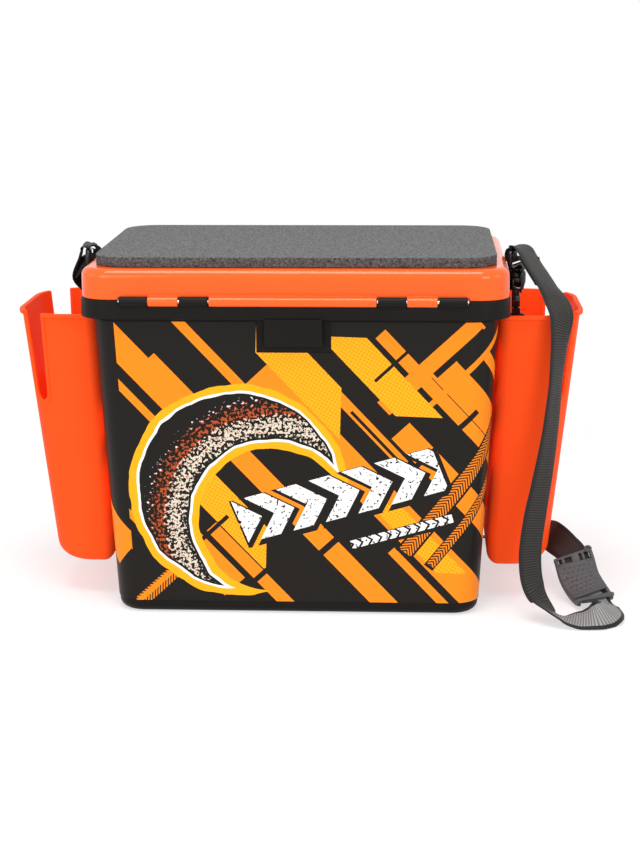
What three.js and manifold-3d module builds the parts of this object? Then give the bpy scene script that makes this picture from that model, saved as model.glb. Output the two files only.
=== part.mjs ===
// Fishing seat box: a moulded tub with a hinged, foam-topped lid, two hung side pockets and a
// webbing shoulder strap on two snap hooks. Millimetres, +Z up, +X right, +Y away from the
// hinge side. The origin is on the ground under the middle of the tub.
import * as THREE from "three";
import { mergeVertices } from "three/addons/utils/BufferGeometryUtils.js";
import Module from "manifold-3d";

const wasm = await Module();
wasm.setup();

// Overall sizes
const RIM_WIDTH = 386;
const RIM_DEPTH = 259.6;
const RIM_RADIUS = 28;
const BAND_TOP = 295.9;
const BAND_HEIGHT = 17.1;
const BAND_WALL = 2.6;
const OVERHANG_X = 10.9;
const OVERHANG_Y = 8;
const BODY_TOP_RADIUS = 26;
const TAPER_X = 14.4;
const TAPER_Y = 10.75;
const BASE_RADIUS = 24;
const BASE_FILLET = 8;
const WALL = 2.6;
const FLOOR = 3;
const FLOOR_FILLET = 6;

// Clearances
const GAP = 0.3;
const RUNNING = 0.5;
const OVERRUN = 1;

// Lid
const LID_INSET = 1.4;
const LID_HEIGHT = 27.3;
const LID_FILLET = 8;
const LID_WALL = 2.6;
const LIP_DEPTH = 6;
const LIP_WALL = 2;
const RIB_WALL = 2;
const RIB_DEPTH = 12;
const RIB_PITCH_X = 116;
const RIB_PITCH_Y = 84;
const PAD_INSET_X = 12.35;
const PAD_INSET_Y = 13.05;
const PAD_RADIUS = 30;
const PAD_THICK = 9.3;
const PAD_EDGE = 1.6;

// Hinges
const AXIS_OUT = 2.2;
const AXIS_DROP = 0.4;
const KNUCKLE_RADIUS = 4.4;
const KNUCKLE_LENGTH = 25.2;
const KNUCKLE_SPACE = 1.7;
const HINGE_INSET = 78.4;
const WEB_REACH = 6;
const WEB_HEIGHT = 6;
const PIN_RADIUS = 1.5;
const PIN_PROUD = 1;
const BEAD_SPACE = 2.1;
const RAIL_HEIGHT = 11.9;

// Latch and boss plates
const BOSS_WIDTH = 52;
const BOSS_DROP = 24;
const LATCH_WIDTH = 40.8;
const LATCH_AXIS_OUT = 3.8;
const LATCH_AXIS_HEIGHT = 9;
const LATCH_BARREL = 3.4;
const LATCH_THICK = 2.8;
const LATCH_LENGTH = 47;
const LATCH_LIP_OUT = 4;
const LATCH_LIP_HEIGHT = 3;
const LATCH_PIN_RADIUS = 1.3;
const EAR_WIDTH = 5;
const EAR_HEIGHT = 7;

// Side pockets
const POCKET_DROP = 20.9;
const POCKET_BOTTOM = 31;
const POCKET_STAND_OFF_TOP = 3.1;
const POCKET_STAND_OFF_BOTTOM = 7.1;
const POCKET_REACH_TOP = 75.8;
const POCKET_REACH_BOTTOM = 58.5;
const POCKET_INSET_TOP = 49.8;
const POCKET_INSET_BOTTOM = 66.8;
const POCKET_CORNER_TOP = 46;
const POCKET_CORNER_BOTTOM = 36;
const POCKET_INNER_CORNER = 10;
const POCKET_WALL = 2.2;
const POCKET_FILLET = 16;
const POCKET_LIP = 2.5;
const POCKET_LIP_HEIGHT = 4;
const SLOT_TOP_WIDTH = 26;
const SLOT_END_RADIUS = 10;
const SLOT_DEPTH = 86;
const SLOT_ANGLE = 48;

// Screws that hold the pockets
const SCREW_RADIUS = 1.9;
const SCREW_HEAD_RADIUS = 4.2;
const SCREW_HEAD = 2.4;
const SCREW_LENGTH = 14;
const SCREW_HIGH_DROP = 43;
const SCREW_LOW_RISE = 49;
const SCREW_INSET = 32;
const SCREW_BOSS_RADIUS = 5.5;

// Printed films
const FILM_GAP = 0.3;
const FILM_THICK = 0.4;
const FILM_BOTTOM = 12;
const FILM_DROP = 2.8;
const FILM_START_SHARE = 0.886;
const FILM_NOTCH_SIDE = 7.5;
const FILM_NOTCH_DROP = 6.8;
const FILM_HOLE = 7.5;

// Strap lugs, one at the middle of each short side
const LUG_LENGTH = 31.9;
const LUG_THICK = 7;
const LUG_HOLE_OUT = 20.9;
const LUG_HOLE_RISE = 13.5;
const LUG_HOLE_RADIUS = 7.5;
const LUG_DROP = 14.3;
const LUG_HEIGHT = 25.5;
const LUG_NOTCH = 2.5;

// Snap hooks
const HOOK_OUTER = 14;
const HOOK_INNER = 8;
const HOOK_THICK = 7;
const HOOK_NOSE = 5.5;
const HOOK_HEIGHT = 39;
const HOOK_THROAT = 20.5;
const HOOK_BARREL = 8.8;
const FORK_BOTTOM = 19.5;
const FORK_TOP = 28.6;
const FORK_SPACE = 6.2;
const FORK_WALL = 1.4;
const FORK_DEPTH = 7.5;
const GATE_PIVOT_X = 11;
const GATE_PIVOT_Z = 24;
const GATE_KNUCKLE = 2.9;
const GATE_WIDTH = 4.8;
const GATE_KNUCKLE_THICK = 2.9;
const GATE_THICK = 6;
const GATE_WIDE_TOP = 17.5;
const GATE_GAP = 0.4;
const GATE_PIN_RADIUS = 0.95;
const THUMB_OUT = 1.8;
const THUMB_HEIGHT = 4;
const THUMB_Z = 12;
const COIL_RADIUS = 1.7;
const COIL_WIRE = 0.25;
const COIL_PITCH = 1.0;
const COIL_TURNS = 2;
const COIL_STEPS = 8;
const COIL_SIDES = 5;
const STEM_RADIUS = 2.6;
const STEM_HEAD_RADIUS = 4.2;
const STEM_HEAD = 2.2;
const EYE_HALF = 18.6;
const EYE_BAR = 5;
const EYE_FOOT = 6.6;
const EYE_SLOT = 9.5;
const EYE_SLOT_HALF = 15.4;
const EYE_TURN = { left: -8, right: 25 };

// Shoulder strap and its slider
const STRAP_WIDTH = 29.6;
const STRAP_THICK = 1.6;
const STRAP_OFF_GROUND = 0.5;
const STRAP_STEPS_PER_POINT = 4;
const SLIDER_FROM_POINT = 25;
const SLIDER_TO_POINT = 27;
const SLIDER_WIDTH = 38;
const SLIDER_WALL = 1.8;
const SLIDER_CLEARANCE = 0.5;

// The hook, rim and eye that the strap's route is laid for, and how far from the middle of the
// box a point must be to move with them in full
const ROUTE_HOOK_X = 203;
const ROUTE_RIM_Y = 129.8;
const ROUTE_EYE_TOP = 326.3;
const ROUTE_WHOLE_X = 150;
const ROUTE_WHOLE_Y = 100;
const ROUTE_WHOLE_Z = 250;

// The strap's route from the right eye to the left eye: a point, then the way its width lies.
const STRAP_ROUTE = [
  [201.4, 0.7, 327.4, 0.42, 0.91, 0],
  [204.9, -1.2, 327.5, 0.42, 0.91, 0],
  [209.2, -8.0, 325.2, 0.4, 0.91, -0.05],
  [218.0, -30, 313.4, 0.55, 0.83, -0.12],
  [227.5, -52, 300.0, 0.55, 0.8, -0.1],
  [235.8, -68, 287.4, 0.73, 0.68, 0],
  [239.2, -82, 276.0, 0.7, 0.72, 0],
  [238.8, -89, 264.0, 0.65, 0.75, 0],
  [237.5, -92, 248.0, 0.55, 0.83, 0],
  [235.0, -94, 215.2, 0.46, 0.89, 0],
  [230.9, -97, 171.3, 0.55, 0.83, 0],
  [224.3, -101, 127.3, 0.67, 0.74, 0],
  [218.4, -105, 94.3, 0.74, 0.67, 0],
  [214.4, -110, 61.5, 0.74, 0.68, 0],
  [215.4, -114, 39.8, 0.71, 0.71, 0],
  [218.2, -117, 29.3, 0.68, 0.74, 0],
  [223.8, -119.0, 18.5, 0.55, 0.84, -0.1],
  [232.3, -129.0, 11.2, 0.22, 0.87, -0.26],
  [243.5, -132.8, 5.8, -0.11, 0.98, -0.11],
  [257.2, -135.5, 5.4, -0.08, 0.97, 0.22],
  [266.7, -137.0, 6.6, -0.22, 0.83, 0.32],
  [275.0, -137.5, 9.0, -0.39, 0.57, 0.46],
  [283.5, -133.0, 11.6, -0.7, 0.15, 0.56],
  [288.3, -118.0, 11.0, -0.79, 0.03, 0.48],
  [284.5, -103.0, 9.6, -0.9, 0.1, 0.2],
  [277.6, -85.0, 7.2, -0.94, 0.18, 0.05],
  [265.0, -60.0, 20.0, -0.98, -0.03, -0.09],
  [258.4, -41.5, 38.5, -0.96, -0.04, -0.21],
  [249.8, -23.5, 43.5, -0.88, -0.13, -0.53],
  [242.0, -5.0, 46.0, -0.55, -0.15, -0.86],
  [239.8, 20.0, 40.0, -0.2, -0.15, -0.95],
  [238.0, 48.0, 31.0, 0.05, 0.1, -0.99],
  [231.0, 78.0, 24.0, 0.15, 0.2, -0.95],
  [215.0, 107.0, 16.0, 0.35, 0.5, -0.75],
  [188.0, 128, 5.5, 0.2, 0.93, -0.25],
  [150.0, 136, 1.4, 0, 1, 0],
  [90.0, 142, 1.4, 0, 1, 0],
  [30.0, 140, 1.4, 0, 1, 0],
  [-30.0, 144, 1.4, 0, 1, 0],
  [-90.0, 143, 1.4, 0, 1, 0],
  [-145.0, 144, 1.4, 0, 1, 0],
  [-176.0, 139, 6.0, 0.3, 0.95, 0],
  [-189.0, 132, 26.0, 0.7, 0.7, 0],
  [-190.5, 130, 70.0, 0.7, 0.7, 0],
  [-191.0, 130, 130.0, 0.7, 0.7, 0],
  [-191.0, 130, 190.0, 0.7, 0.7, 0],
  [-192.0, 129, 236.0, 0.7, 0.7, 0],
  [-194.0, 126, 262.0, 0.6, 0.8, 0],
  [-198.5, 111, 284.0, 0.5, 0.5, 0.6],
  [-202.5, 85, 293.5, 0.35, 0.1, 0.93],
  [-203.5, 58, 292.0, 0.15, 0, 0.97],
  [-203.5, 31, 291.0, 0.1, 0.2, 0.97],
  [-210.3, 17, 296.0, 0.2, 0.5, 0.84],
  [-215.8, 4, 304.5, 0.1, 0.93, 0.3],
  [-211.5, 1.2, 316.6, -0.05, 0.99, 0.05],
  [-207.4, 0.2, 327.3, -0.13, 0.99, 0],
  [-201.2, -0.6, 328.1, -0.14, 0.99, 0],
];

// How finely the round shapes are cut
const CORNER_STEPS = 6;
const FILLET_STEPS = 3;
const ROUND_SIDES = 16;
const SMALL_SIDES = 12;
const ARC_STEPS = 12;

const BLACK = { color: 0x2b2928, roughness: 0.45, metalness: 0 };
const ORANGE = { color: 0xfd6e32, roughness: 0.35, metalness: 0 };
const POCKET_ORANGE = { color: 0xff5a2c, roughness: 0.38, metalness: 0 };
const PRINT = { color: 0xff9310, roughness: 0.4, metalness: 0 };
const FOAM = { color: 0x6a6a6c, roughness: 0.95, metalness: 0 };
const STEEL = { color: 0xc8c8c8, roughness: 0.3, metalness: 1 };
const WEBBING = { color: 0x373735, roughness: 0.8, metalness: 0 };
const GREY = { color: 0x505052, roughness: 0.5, metalness: 0 };

// Solids and meshes

function toSolid(geometry) {
  const bare = geometry.clone();
  bare.deleteAttribute("normal");
  bare.deleteAttribute("uv");
  const merged = mergeVertices(bare, 1e-4);
  return new wasm.Manifold(
    new wasm.Mesh({
      numProp: 3,
      vertProperties: merged.attributes.position.array,
      triVerts: new Uint32Array(merged.index.array),
    }),
  );
}

function toGeometry(solid) {
  const mesh = solid.getMesh();
  return new THREE.BufferGeometry()
    .setAttribute("position", new THREE.BufferAttribute(mesh.vertProperties, 3))
    .setIndex(new THREE.BufferAttribute(mesh.triVerts, 1));
}

function joined(first, ...others) {
  return others.reduce((sum, other) => sum.add(toSolid(other)), toSolid(first));
}

function cut(solid, ...tools) {
  return tools.reduce((rest, tool) => rest.subtract(toSolid(tool)), solid);
}

function block(x0, x1, y0, y1, z0, z1) {
  const box = new THREE.BoxGeometry(x1 - x0, y1 - y0, z1 - z0);
  return box.translate((x0 + x1) / 2, (y0 + y1) / 2, (z0 + z1) / 2);
}

function rodAlongX(x0, x1, y, z, radius, sides = ROUND_SIDES) {
  const rod = new THREE.CylinderGeometry(radius, radius, x1 - x0, sides);
  return rod.rotateZ(Math.PI / 2).translate((x0 + x1) / 2, y, z);
}

function rodAlongZ(x, y, z0, z1, radius, sides = ROUND_SIDES) {
  const rod = new THREE.CylinderGeometry(radius, radius, z1 - z0, sides);
  return rod.rotateX(Math.PI / 2).translate(x, y, (z0 + z1) / 2);
}

// A closed skin through rings of points that all have the same count, with a flat fan on the
// first ring, facing away from the second, and one on the last.
function loft(rings) {
  const count = rings[0].length;
  const points = rings.flat().flat();
  const index = [];
  for (let r = 0; r < rings.length - 1; r++)
    for (let i = 0; i < count; i++) {
      const a = r * count + i;
      const b = r * count + ((i + 1) % count);
      index.push(a, b, b + count, a, b + count, a + count);
    }
  for (const [ring, turned] of [[0, true], [rings.length - 1, false]]) {
    const middle = points.length / 3;
    for (const k of [0, 1, 2])
      points.push(rings[ring].reduce((sum, p) => sum + p[k], 0) / count);
    for (let i = 0; i < count; i++) {
      const a = ring * count + i;
      const b = ring * count + ((i + 1) % count);
      index.push(middle, ...(turned ? [b, a] : [a, b]));
    }
  }
  return new THREE.BufferGeometry()
    .setAttribute("position", new THREE.Float32BufferAttribute(points, 3))
    .setIndex(index);
}

// A rounded rectangle at height z, anticlockwise from above. Each corner has its own radius.
function outline(x0, x1, halfY, z, radiusAtX0, radiusAtX1, steps = CORNER_STEPS) {
  const corners = [
    [x1, halfY, radiusAtX1, 0],
    [x0, halfY, radiusAtX0, 1],
    [x0, -halfY, radiusAtX0, 2],
    [x1, -halfY, radiusAtX1, 3],
  ];
  return corners.flatMap(([x, y, radius, quarter]) => {
    const cx = x - Math.sign(x - (x0 + x1) / 2) * radius;
    const cy = y - Math.sign(y) * radius;
    return Array.from({ length: steps + 1 }, (_, i) => {
      const angle = ((quarter + i / steps) * Math.PI) / 2;
      return [cx + radius * Math.cos(angle), cy + radius * Math.sin(angle), z];
    });
  });
}

function evenRing(halfX, halfY, radius, z) {
  return outline(-halfX, halfX, halfY, z, radius, radius);
}

function mix(a, b, share) {
  return a + (b - a) * share;
}

// Tub

const BAND_BOTTOM = BAND_TOP - BAND_HEIGHT;
const BODY_TOP_WIDTH = RIM_WIDTH - 2 * OVERHANG_X;
const BODY_TOP_DEPTH = RIM_DEPTH - 2 * OVERHANG_Y;
const BASE_WIDTH = BODY_TOP_WIDTH - 2 * TAPER_X;
const BASE_DEPTH = BODY_TOP_DEPTH - 2 * TAPER_Y;
const AXIS_Y = -(RIM_DEPTH / 2 + AXIS_OUT);
const AXIS_Z = BAND_TOP - AXIS_DROP;
const SCOOP_RADIUS = KNUCKLE_RADIUS + RUNNING;
const BORE_RADIUS = PIN_RADIUS + GAP;
const KNUCKLE_STEP = KNUCKLE_LENGTH + KNUCKLE_SPACE;
const HINGE_HALF = KNUCKLE_STEP + KNUCKLE_LENGTH / 2;
const HINGE_CENTRE = RIM_WIDTH / 2 - HINGE_INSET;
const BEAD_HALF = HINGE_CENTRE - HINGE_HALF - BEAD_SPACE;
const LUG_REACH = BODY_TOP_WIDTH / 2 + LUG_LENGTH;
const LUG_TOP = BAND_BOTTOM - LUG_DROP;
const LUG_BOTTOM = LUG_TOP - LUG_HEIGHT;
const LUG_HOLE_X = BODY_TOP_WIDTH / 2 + LUG_HOLE_OUT;
const LUG_HOLE_Z = LUG_BOTTOM + LUG_HOLE_RISE;
const POCKET_TOP = BAND_TOP - POCKET_DROP;
const FILM_TOP = BAND_BOTTOM - FILM_DROP;
const SIDES = { left: -1, right: 1 };

// Half sizes and corner radius of the tub's outside at a height
function tubAt(z) {
  const share = (z - BASE_FILLET) / (BAND_BOTTOM - BASE_FILLET);
  return {
    x: mix(BASE_WIDTH, BODY_TOP_WIDTH, share) / 2,
    y: mix(BASE_DEPTH, BODY_TOP_DEPTH, share) / 2,
    radius: mix(BASE_RADIUS, BODY_TOP_RADIUS, share),
  };
}

function tubRing(z, inset) {
  const { x, y, radius } = tubAt(z);
  return evenRing(x - inset, y - inset, Math.max(radius - inset, WALL), z);
}

function rimRing(z, inset) {
  return evenRing(RIM_WIDTH / 2 - inset, RIM_DEPTH / 2 - inset, RIM_RADIUS - inset, z);
}

function tubShell() {
  const rings = [];
  for (let i = 0; i <= FILLET_STEPS; i++) {
    const angle = ((i / FILLET_STEPS) * Math.PI) / 2;
    const inset = BASE_FILLET * (1 - Math.sin(angle));
    rings.push(tubRing(BASE_FILLET * (1 - Math.cos(angle)), inset));
  }
  rings.push(tubRing(BAND_TOP - BAND_WALL, 0));
  rings.push(rimRing(BAND_TOP - BAND_WALL, BAND_WALL));
  rings.push(rimRing(BAND_BOTTOM, BAND_WALL));
  rings.push(rimRing(BAND_BOTTOM, 0));
  rings.push(rimRing(BAND_TOP - BAND_WALL / 2, 0));
  rings.push(rimRing(BAND_TOP, BAND_WALL / 2));
  rings.push(tubRing(BAND_TOP, WALL));
  rings.push(tubRing(FLOOR + FLOOR_FILLET, WALL));
  rings.push(tubRing(FLOOR, WALL + FLOOR_FILLET));
  return loft(rings);
}

// The knuckles' places along a hinge: -1 and 1 belong to the tub, 0 to the lid.
function knuckleSpan(side, place) {
  const middle = side * HINGE_CENTRE + place * KNUCKLE_STEP;
  return [middle - KNUCKLE_LENGTH / 2, middle + KNUCKLE_LENGTH / 2];
}

function tubKnuckles() {
  const pieces = [];
  for (const side of Object.values(SIDES))
    for (const place of [-1, 1]) {
      const [x0, x1] = knuckleSpan(side, place);
      pieces.push(rodAlongX(x0, x1, AXIS_Y, AXIS_Z, KNUCKLE_RADIUS));
      pieces.push(block(x0, x1, AXIS_Y, AXIS_Y + WEB_REACH, AXIS_Z - WEB_HEIGHT, AXIS_Z));
    }
  return pieces;
}

function lugPlate(side) {
  const shape = new THREE.Shape();
  const back = BODY_TOP_WIDTH / 2 - WALL;
  const corner = (LUG_TOP - LUG_BOTTOM) / 3;
  shape.moveTo(back, LUG_BOTTOM);
  shape.lineTo(LUG_REACH - corner, LUG_BOTTOM);
  shape.quadraticCurveTo(LUG_REACH, LUG_BOTTOM, LUG_REACH, LUG_BOTTOM + corner);
  shape.lineTo(LUG_REACH, LUG_TOP - corner);
  shape.quadraticCurveTo(LUG_REACH, LUG_TOP, LUG_REACH - corner, LUG_TOP);
  shape.lineTo(back, LUG_TOP);
  const hole = new THREE.Path();
  hole.absarc(LUG_HOLE_X, LUG_HOLE_Z, LUG_HOLE_RADIUS, 0, 2 * Math.PI, true);
  shape.holes.push(hole);
  const plate = new THREE.ExtrudeGeometry(shape, {
    depth: LUG_THICK,
    bevelEnabled: false,
    curveSegments: SMALL_SIDES,
  });
  plate.rotateX(Math.PI / 2).translate(0, LUG_THICK / 2, 0);
  return side < 0 ? plate.rotateZ(Math.PI) : plate;
}

function bossPlate(side) {
  const inner = tubAt(BAND_BOTTOM - BOSS_DROP).y - WALL / 2;
  const [y0, y1] = [side * inner, (side * RIM_DEPTH) / 2].sort((a, b) => a - b);
  const top = BAND_BOTTOM + BAND_WALL;
  return block(-BOSS_WIDTH / 2, BOSS_WIDTH / 2, y0, y1, BAND_BOTTOM - BOSS_DROP, top);
}

function screwPlaces() {
  const spread = RIM_DEPTH / 2 - POCKET_INSET_TOP - SCREW_INSET;
  const high = POCKET_TOP - SCREW_HIGH_DROP;
  return [
    { name: "front", y: -spread, z: high },
    { name: "rear", y: spread, z: high },
    { name: "lower", y: 0, z: POCKET_BOTTOM + SCREW_LOW_RISE },
  ];
}

// A rod along X at one pocket screw, on one side of the box, from one distance to another.
function screwRod(side, place, from, to, radius, sides = SMALL_SIDES) {
  const [x0, x1] = side > 0 ? [from, to] : [-to, -from];
  return rodAlongX(x0, x1, side * place.y, place.z, radius, sides);
}

function tubBody() {
  const half = HINGE_CENTRE + HINGE_HALF;
  const rail = block(
    -half - BAND_WALL,
    half + BAND_WALL,
    -(RIM_DEPTH / 2 - BAND_WALL / 2),
    -(tubAt(BAND_TOP).y - WALL / 2),
    BAND_TOP - RAIL_HEIGHT,
    BAND_TOP - BAND_WALL / 2,
  );
  let body = joined(tubShell(), rail, bossPlate(-1), bossPlate(1));
  const scoop = half + KNUCKLE_SPACE;
  body = cut(body, rodAlongX(-scoop, scoop, AXIS_Y, AXIS_Z, SCOOP_RADIUS));
  for (const piece of tubKnuckles()) body = body.add(toSolid(piece));
  body = cut(body, rodAlongX(-scoop, scoop, AXIS_Y, AXIS_Z, BORE_RADIUS));
  for (const side of Object.values(SIDES)) {
    body = body.add(toSolid(lugPlate(side)));
    for (const place of screwPlaces()) {
      const wall = tubAt(place.z).x;
      const from = wall - WALL - OVERRUN;
      body = cut(body, screwRod(side, place, from, wall + OVERRUN, SCREW_RADIUS + GAP));
    }
  }
  return toGeometry(body);
}

// Printed films: each wraps one long wall, one corner and one short wall.

function filmPath(z, offset) {
  const { x, y, radius } = tubAt(z);
  const ring = evenRing(x + offset, y + offset, radius + offset, z);
  const corner = CORNER_STEPS + 1;
  const frontRight = ring.slice(3 * corner, 4 * corner);
  const rearRight = ring.slice(0, corner - 1);
  return [[-x * FILM_START_SHARE, -(y + offset), z], ...frontRight, ...rearRight];
}

function film(turned) {
  const layers = [
    filmPath(FILM_BOTTOM, FILM_GAP + FILM_THICK),
    filmPath(FILM_BOTTOM, FILM_GAP),
    filmPath(FILM_TOP, FILM_GAP + FILM_THICK),
    filmPath(FILM_TOP, FILM_GAP),
  ];
  const count = layers[0].length;
  const at = (layer, i) => layer * count + i;
  const index = [];
  const quad = (a, b, c, d) => index.push(a, b, c, a, c, d);
  for (let i = 0; i < count - 1; i++) {
    quad(at(0, i), at(0, i + 1), at(2, i + 1), at(2, i));
    quad(at(1, i), at(3, i), at(3, i + 1), at(1, i + 1));
    quad(at(0, i), at(1, i), at(1, i + 1), at(0, i + 1));
    quad(at(2, i), at(2, i + 1), at(3, i + 1), at(3, i));
  }
  const end = count - 1;
  quad(at(0, 0), at(2, 0), at(3, 0), at(1, 0));
  quad(at(0, end), at(1, end), at(3, end), at(2, end));
  const skin = new THREE.BufferGeometry()
    .setAttribute("position", new THREE.Float32BufferAttribute(layers.flat().flat(), 3))
    .setIndex(index);
  const notch = BOSS_WIDTH / 2 + FILM_NOTCH_SIDE;
  const notchBottom = BAND_BOTTOM - BOSS_DROP - FILM_NOTCH_DROP;
  const beyond = RIM_DEPTH / 2;
  let solid = cut(
    toSolid(skin),
    block(-notch, notch, -beyond, 0, notchBottom, BAND_BOTTOM),
    block(0, LUG_REACH, -LUG_THICK / 2 - LUG_NOTCH, LUG_THICK / 2 + LUG_NOTCH,
      LUG_BOTTOM - LUG_NOTCH, BAND_BOTTOM),
  );
  for (const place of screwPlaces()) {
    const wall = tubAt(place.z).x;
    solid = cut(solid, screwRod(1, place, wall - WALL, wall + WALL, FILM_HOLE));
  }
  const geometry = toGeometry(solid);
  return turned ? geometry.rotateZ(Math.PI) : geometry;
}

// Lid

const LID_BOTTOM = BAND_TOP + GAP;
const LID_TOP = LID_BOTTOM + LID_HEIGHT;
const LATCH_Y = RIM_DEPTH / 2 - LID_INSET + LATCH_AXIS_OUT;
const LATCH_Z = LID_BOTTOM + LATCH_AXIS_HEIGHT;

function lidRing(z, inset) {
  return rimRing(z, LID_INSET + inset);
}

function lidShell() {
  const inside = LID_TOP - LID_WALL;
  const opening = tubAt(BAND_TOP);
  const lipRing = (z, inset) =>
    evenRing(
      opening.x - WALL - OVERRUN - inset,
      opening.y - WALL - OVERRUN - inset,
      opening.radius - WALL - inset,
      z,
    );
  const rings = [
    lipRing(inside, LIP_WALL),
    lipRing(LID_BOTTOM - LIP_DEPTH, LIP_WALL),
    lipRing(LID_BOTTOM - LIP_DEPTH, 0),
    lipRing(inside, 0),
    lidRing(inside, LID_WALL),
    lidRing(LID_BOTTOM, LID_WALL),
    lidRing(LID_BOTTOM, 0),
  ];
  for (let i = 0; i <= FILLET_STEPS; i++) {
    const angle = ((i / FILLET_STEPS) * Math.PI) / 2;
    const z = LID_TOP - LID_FILLET * (1 - Math.sin(angle));
    rings.push(lidRing(z, LID_FILLET * (1 - Math.cos(angle))));
  }
  return loft(rings);
}

function lidRibs() {
  const opening = tubAt(BAND_TOP);
  const halfX = opening.x - WALL - OVERRUN - LIP_WALL / 2;
  const halfY = opening.y - WALL - OVERRUN - LIP_WALL / 2;
  const top = LID_TOP - LID_WALL / 2;
  const bottom = LID_TOP - LID_WALL - RIB_DEPTH;
  const half = RIB_WALL / 2;
  const ribs = [];
  for (const x of [-RIB_PITCH_X, 0, RIB_PITCH_X])
    ribs.push(block(x - half, x + half, -halfY, halfY, bottom, top));
  for (const y of [-RIB_PITCH_Y / 2, RIB_PITCH_Y / 2])
    ribs.push(block(-halfX, halfX, y - half, y + half, bottom, top));
  return ribs;
}

function lid() {
  let shell = joined(lidShell(), ...lidRibs());
  for (const side of Object.values(SIDES))
    for (const place of [-1, 1]) {
      const [x0, x1] = knuckleSpan(side, place);
      const [from, to] = [x0 - KNUCKLE_SPACE, x1 + KNUCKLE_SPACE];
      shell = cut(shell, rodAlongX(from, to, AXIS_Y, AXIS_Z, SCOOP_RADIUS));
    }
  const spans = [[-BEAD_HALF, BEAD_HALF]];
  for (const side of Object.values(SIDES)) spans.push(knuckleSpan(side, 0));
  for (const [x0, x1] of spans) {
    const web = block(x0, x1, AXIS_Y, AXIS_Y + WEB_REACH, LID_BOTTOM, AXIS_Z + WEB_HEIGHT);
    shell = shell.add(toSolid(rodAlongX(x0, x1, AXIS_Y, AXIS_Z, KNUCKLE_RADIUS)));
    shell = shell.add(toSolid(web));
  }
  for (const side of Object.values(SIDES)) {
    const [x0, x1] = knuckleSpan(side, 0);
    const bore = rodAlongX(x0 - OVERRUN, x1 + OVERRUN, AXIS_Y, AXIS_Z, BORE_RADIUS);
    shell = cut(shell, bore);
  }
  const inner = RIM_DEPTH / 2 - LID_INSET - LID_WALL / 2;
  const ear = LATCH_WIDTH / 2 + RUNNING;
  for (const side of Object.values(SIDES)) {
    const [x0, x1] = [side * ear, side * (ear + EAR_WIDTH)].sort((a, b) => a - b);
    const outer = LATCH_Y + LATCH_BARREL;
    const half = EAR_HEIGHT / 2;
    shell = shell.add(toSolid(block(x0, x1, inner, outer, LATCH_Z - half, LATCH_Z + half)));
  }
  const reach = ear + EAR_WIDTH + OVERRUN;
  const bore = rodAlongX(-reach, reach, LATCH_Y, LATCH_Z, LATCH_PIN_RADIUS + GAP, SMALL_SIDES);
  return toGeometry(cut(shell, bore));
}

function seatPad() {
  const bottom = LID_TOP + GAP;
  const halfX = RIM_WIDTH / 2 - PAD_INSET_X;
  const halfY = RIM_DEPTH / 2 - PAD_INSET_Y;
  const ring = (z, inset) => evenRing(halfX - inset, halfY - inset, PAD_RADIUS - inset, z);
  const top = bottom + PAD_THICK;
  return loft([
    ring(bottom, 0),
    ring(top - PAD_EDGE, 0),
    ring(top - PAD_EDGE / 3, PAD_EDGE / 3),
    ring(top, PAD_EDGE),
  ]);
}

function hingePin(side) {
  const [x0] = knuckleSpan(side, -1);
  const [, x1] = knuckleSpan(side, 1);
  return rodAlongX(x0 - PIN_PROUD, x1 + PIN_PROUD, AXIS_Y, AXIS_Z, PIN_RADIUS);
}

// Latch lever on the far long side, hung on the lid

function latchLever() {
  const half = LATCH_WIDTH / 2;
  const back = RIM_DEPTH / 2 + RUNNING + GAP;
  const bottom = LATCH_Z - LATCH_LENGTH;
  const lever = joined(
    rodAlongX(-half, half, LATCH_Y, LATCH_Z, LATCH_BARREL),
    block(-half, half, back, back + LATCH_THICK, bottom, LATCH_Z - OVERRUN),
    block(-half, half, back, back + LATCH_THICK + LATCH_LIP_OUT, bottom,
      bottom + LATCH_LIP_HEIGHT),
  );
  const reach = half + OVERRUN;
  const bore = rodAlongX(-reach, reach, LATCH_Y, LATCH_Z, LATCH_PIN_RADIUS + GAP, SMALL_SIDES);
  return toGeometry(cut(lever, bore));
}

function latchPin() {
  const half = LATCH_WIDTH / 2 + RUNNING + EAR_WIDTH;
  return rodAlongX(-half, half, LATCH_Y, LATCH_Z, LATCH_PIN_RADIUS, SMALL_SIDES);
}

// Side pockets, made on the right and turned half round for the left

function pocketAt(z) {
  const share = (z - POCKET_BOTTOM) / (POCKET_TOP - POCKET_BOTTOM);
  const back = tubAt(z).x + mix(POCKET_STAND_OFF_BOTTOM, POCKET_STAND_OFF_TOP, share);
  return {
    back,
    front: back + mix(POCKET_REACH_BOTTOM, POCKET_REACH_TOP, share),
    half: RIM_DEPTH / 2 - mix(POCKET_INSET_BOTTOM, POCKET_INSET_TOP, share),
    corner: mix(POCKET_CORNER_BOTTOM, POCKET_CORNER_TOP, share),
  };
}

function pocketRing(z, inset, outward = 0) {
  const { back, front, half, corner } = pocketAt(z);
  return outline(
    back + inset,
    front - inset + outward,
    half - inset + outward,
    z,
    Math.max(POCKET_INNER_CORNER - inset, POCKET_WALL),
    corner - inset + outward,
  );
}

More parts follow.
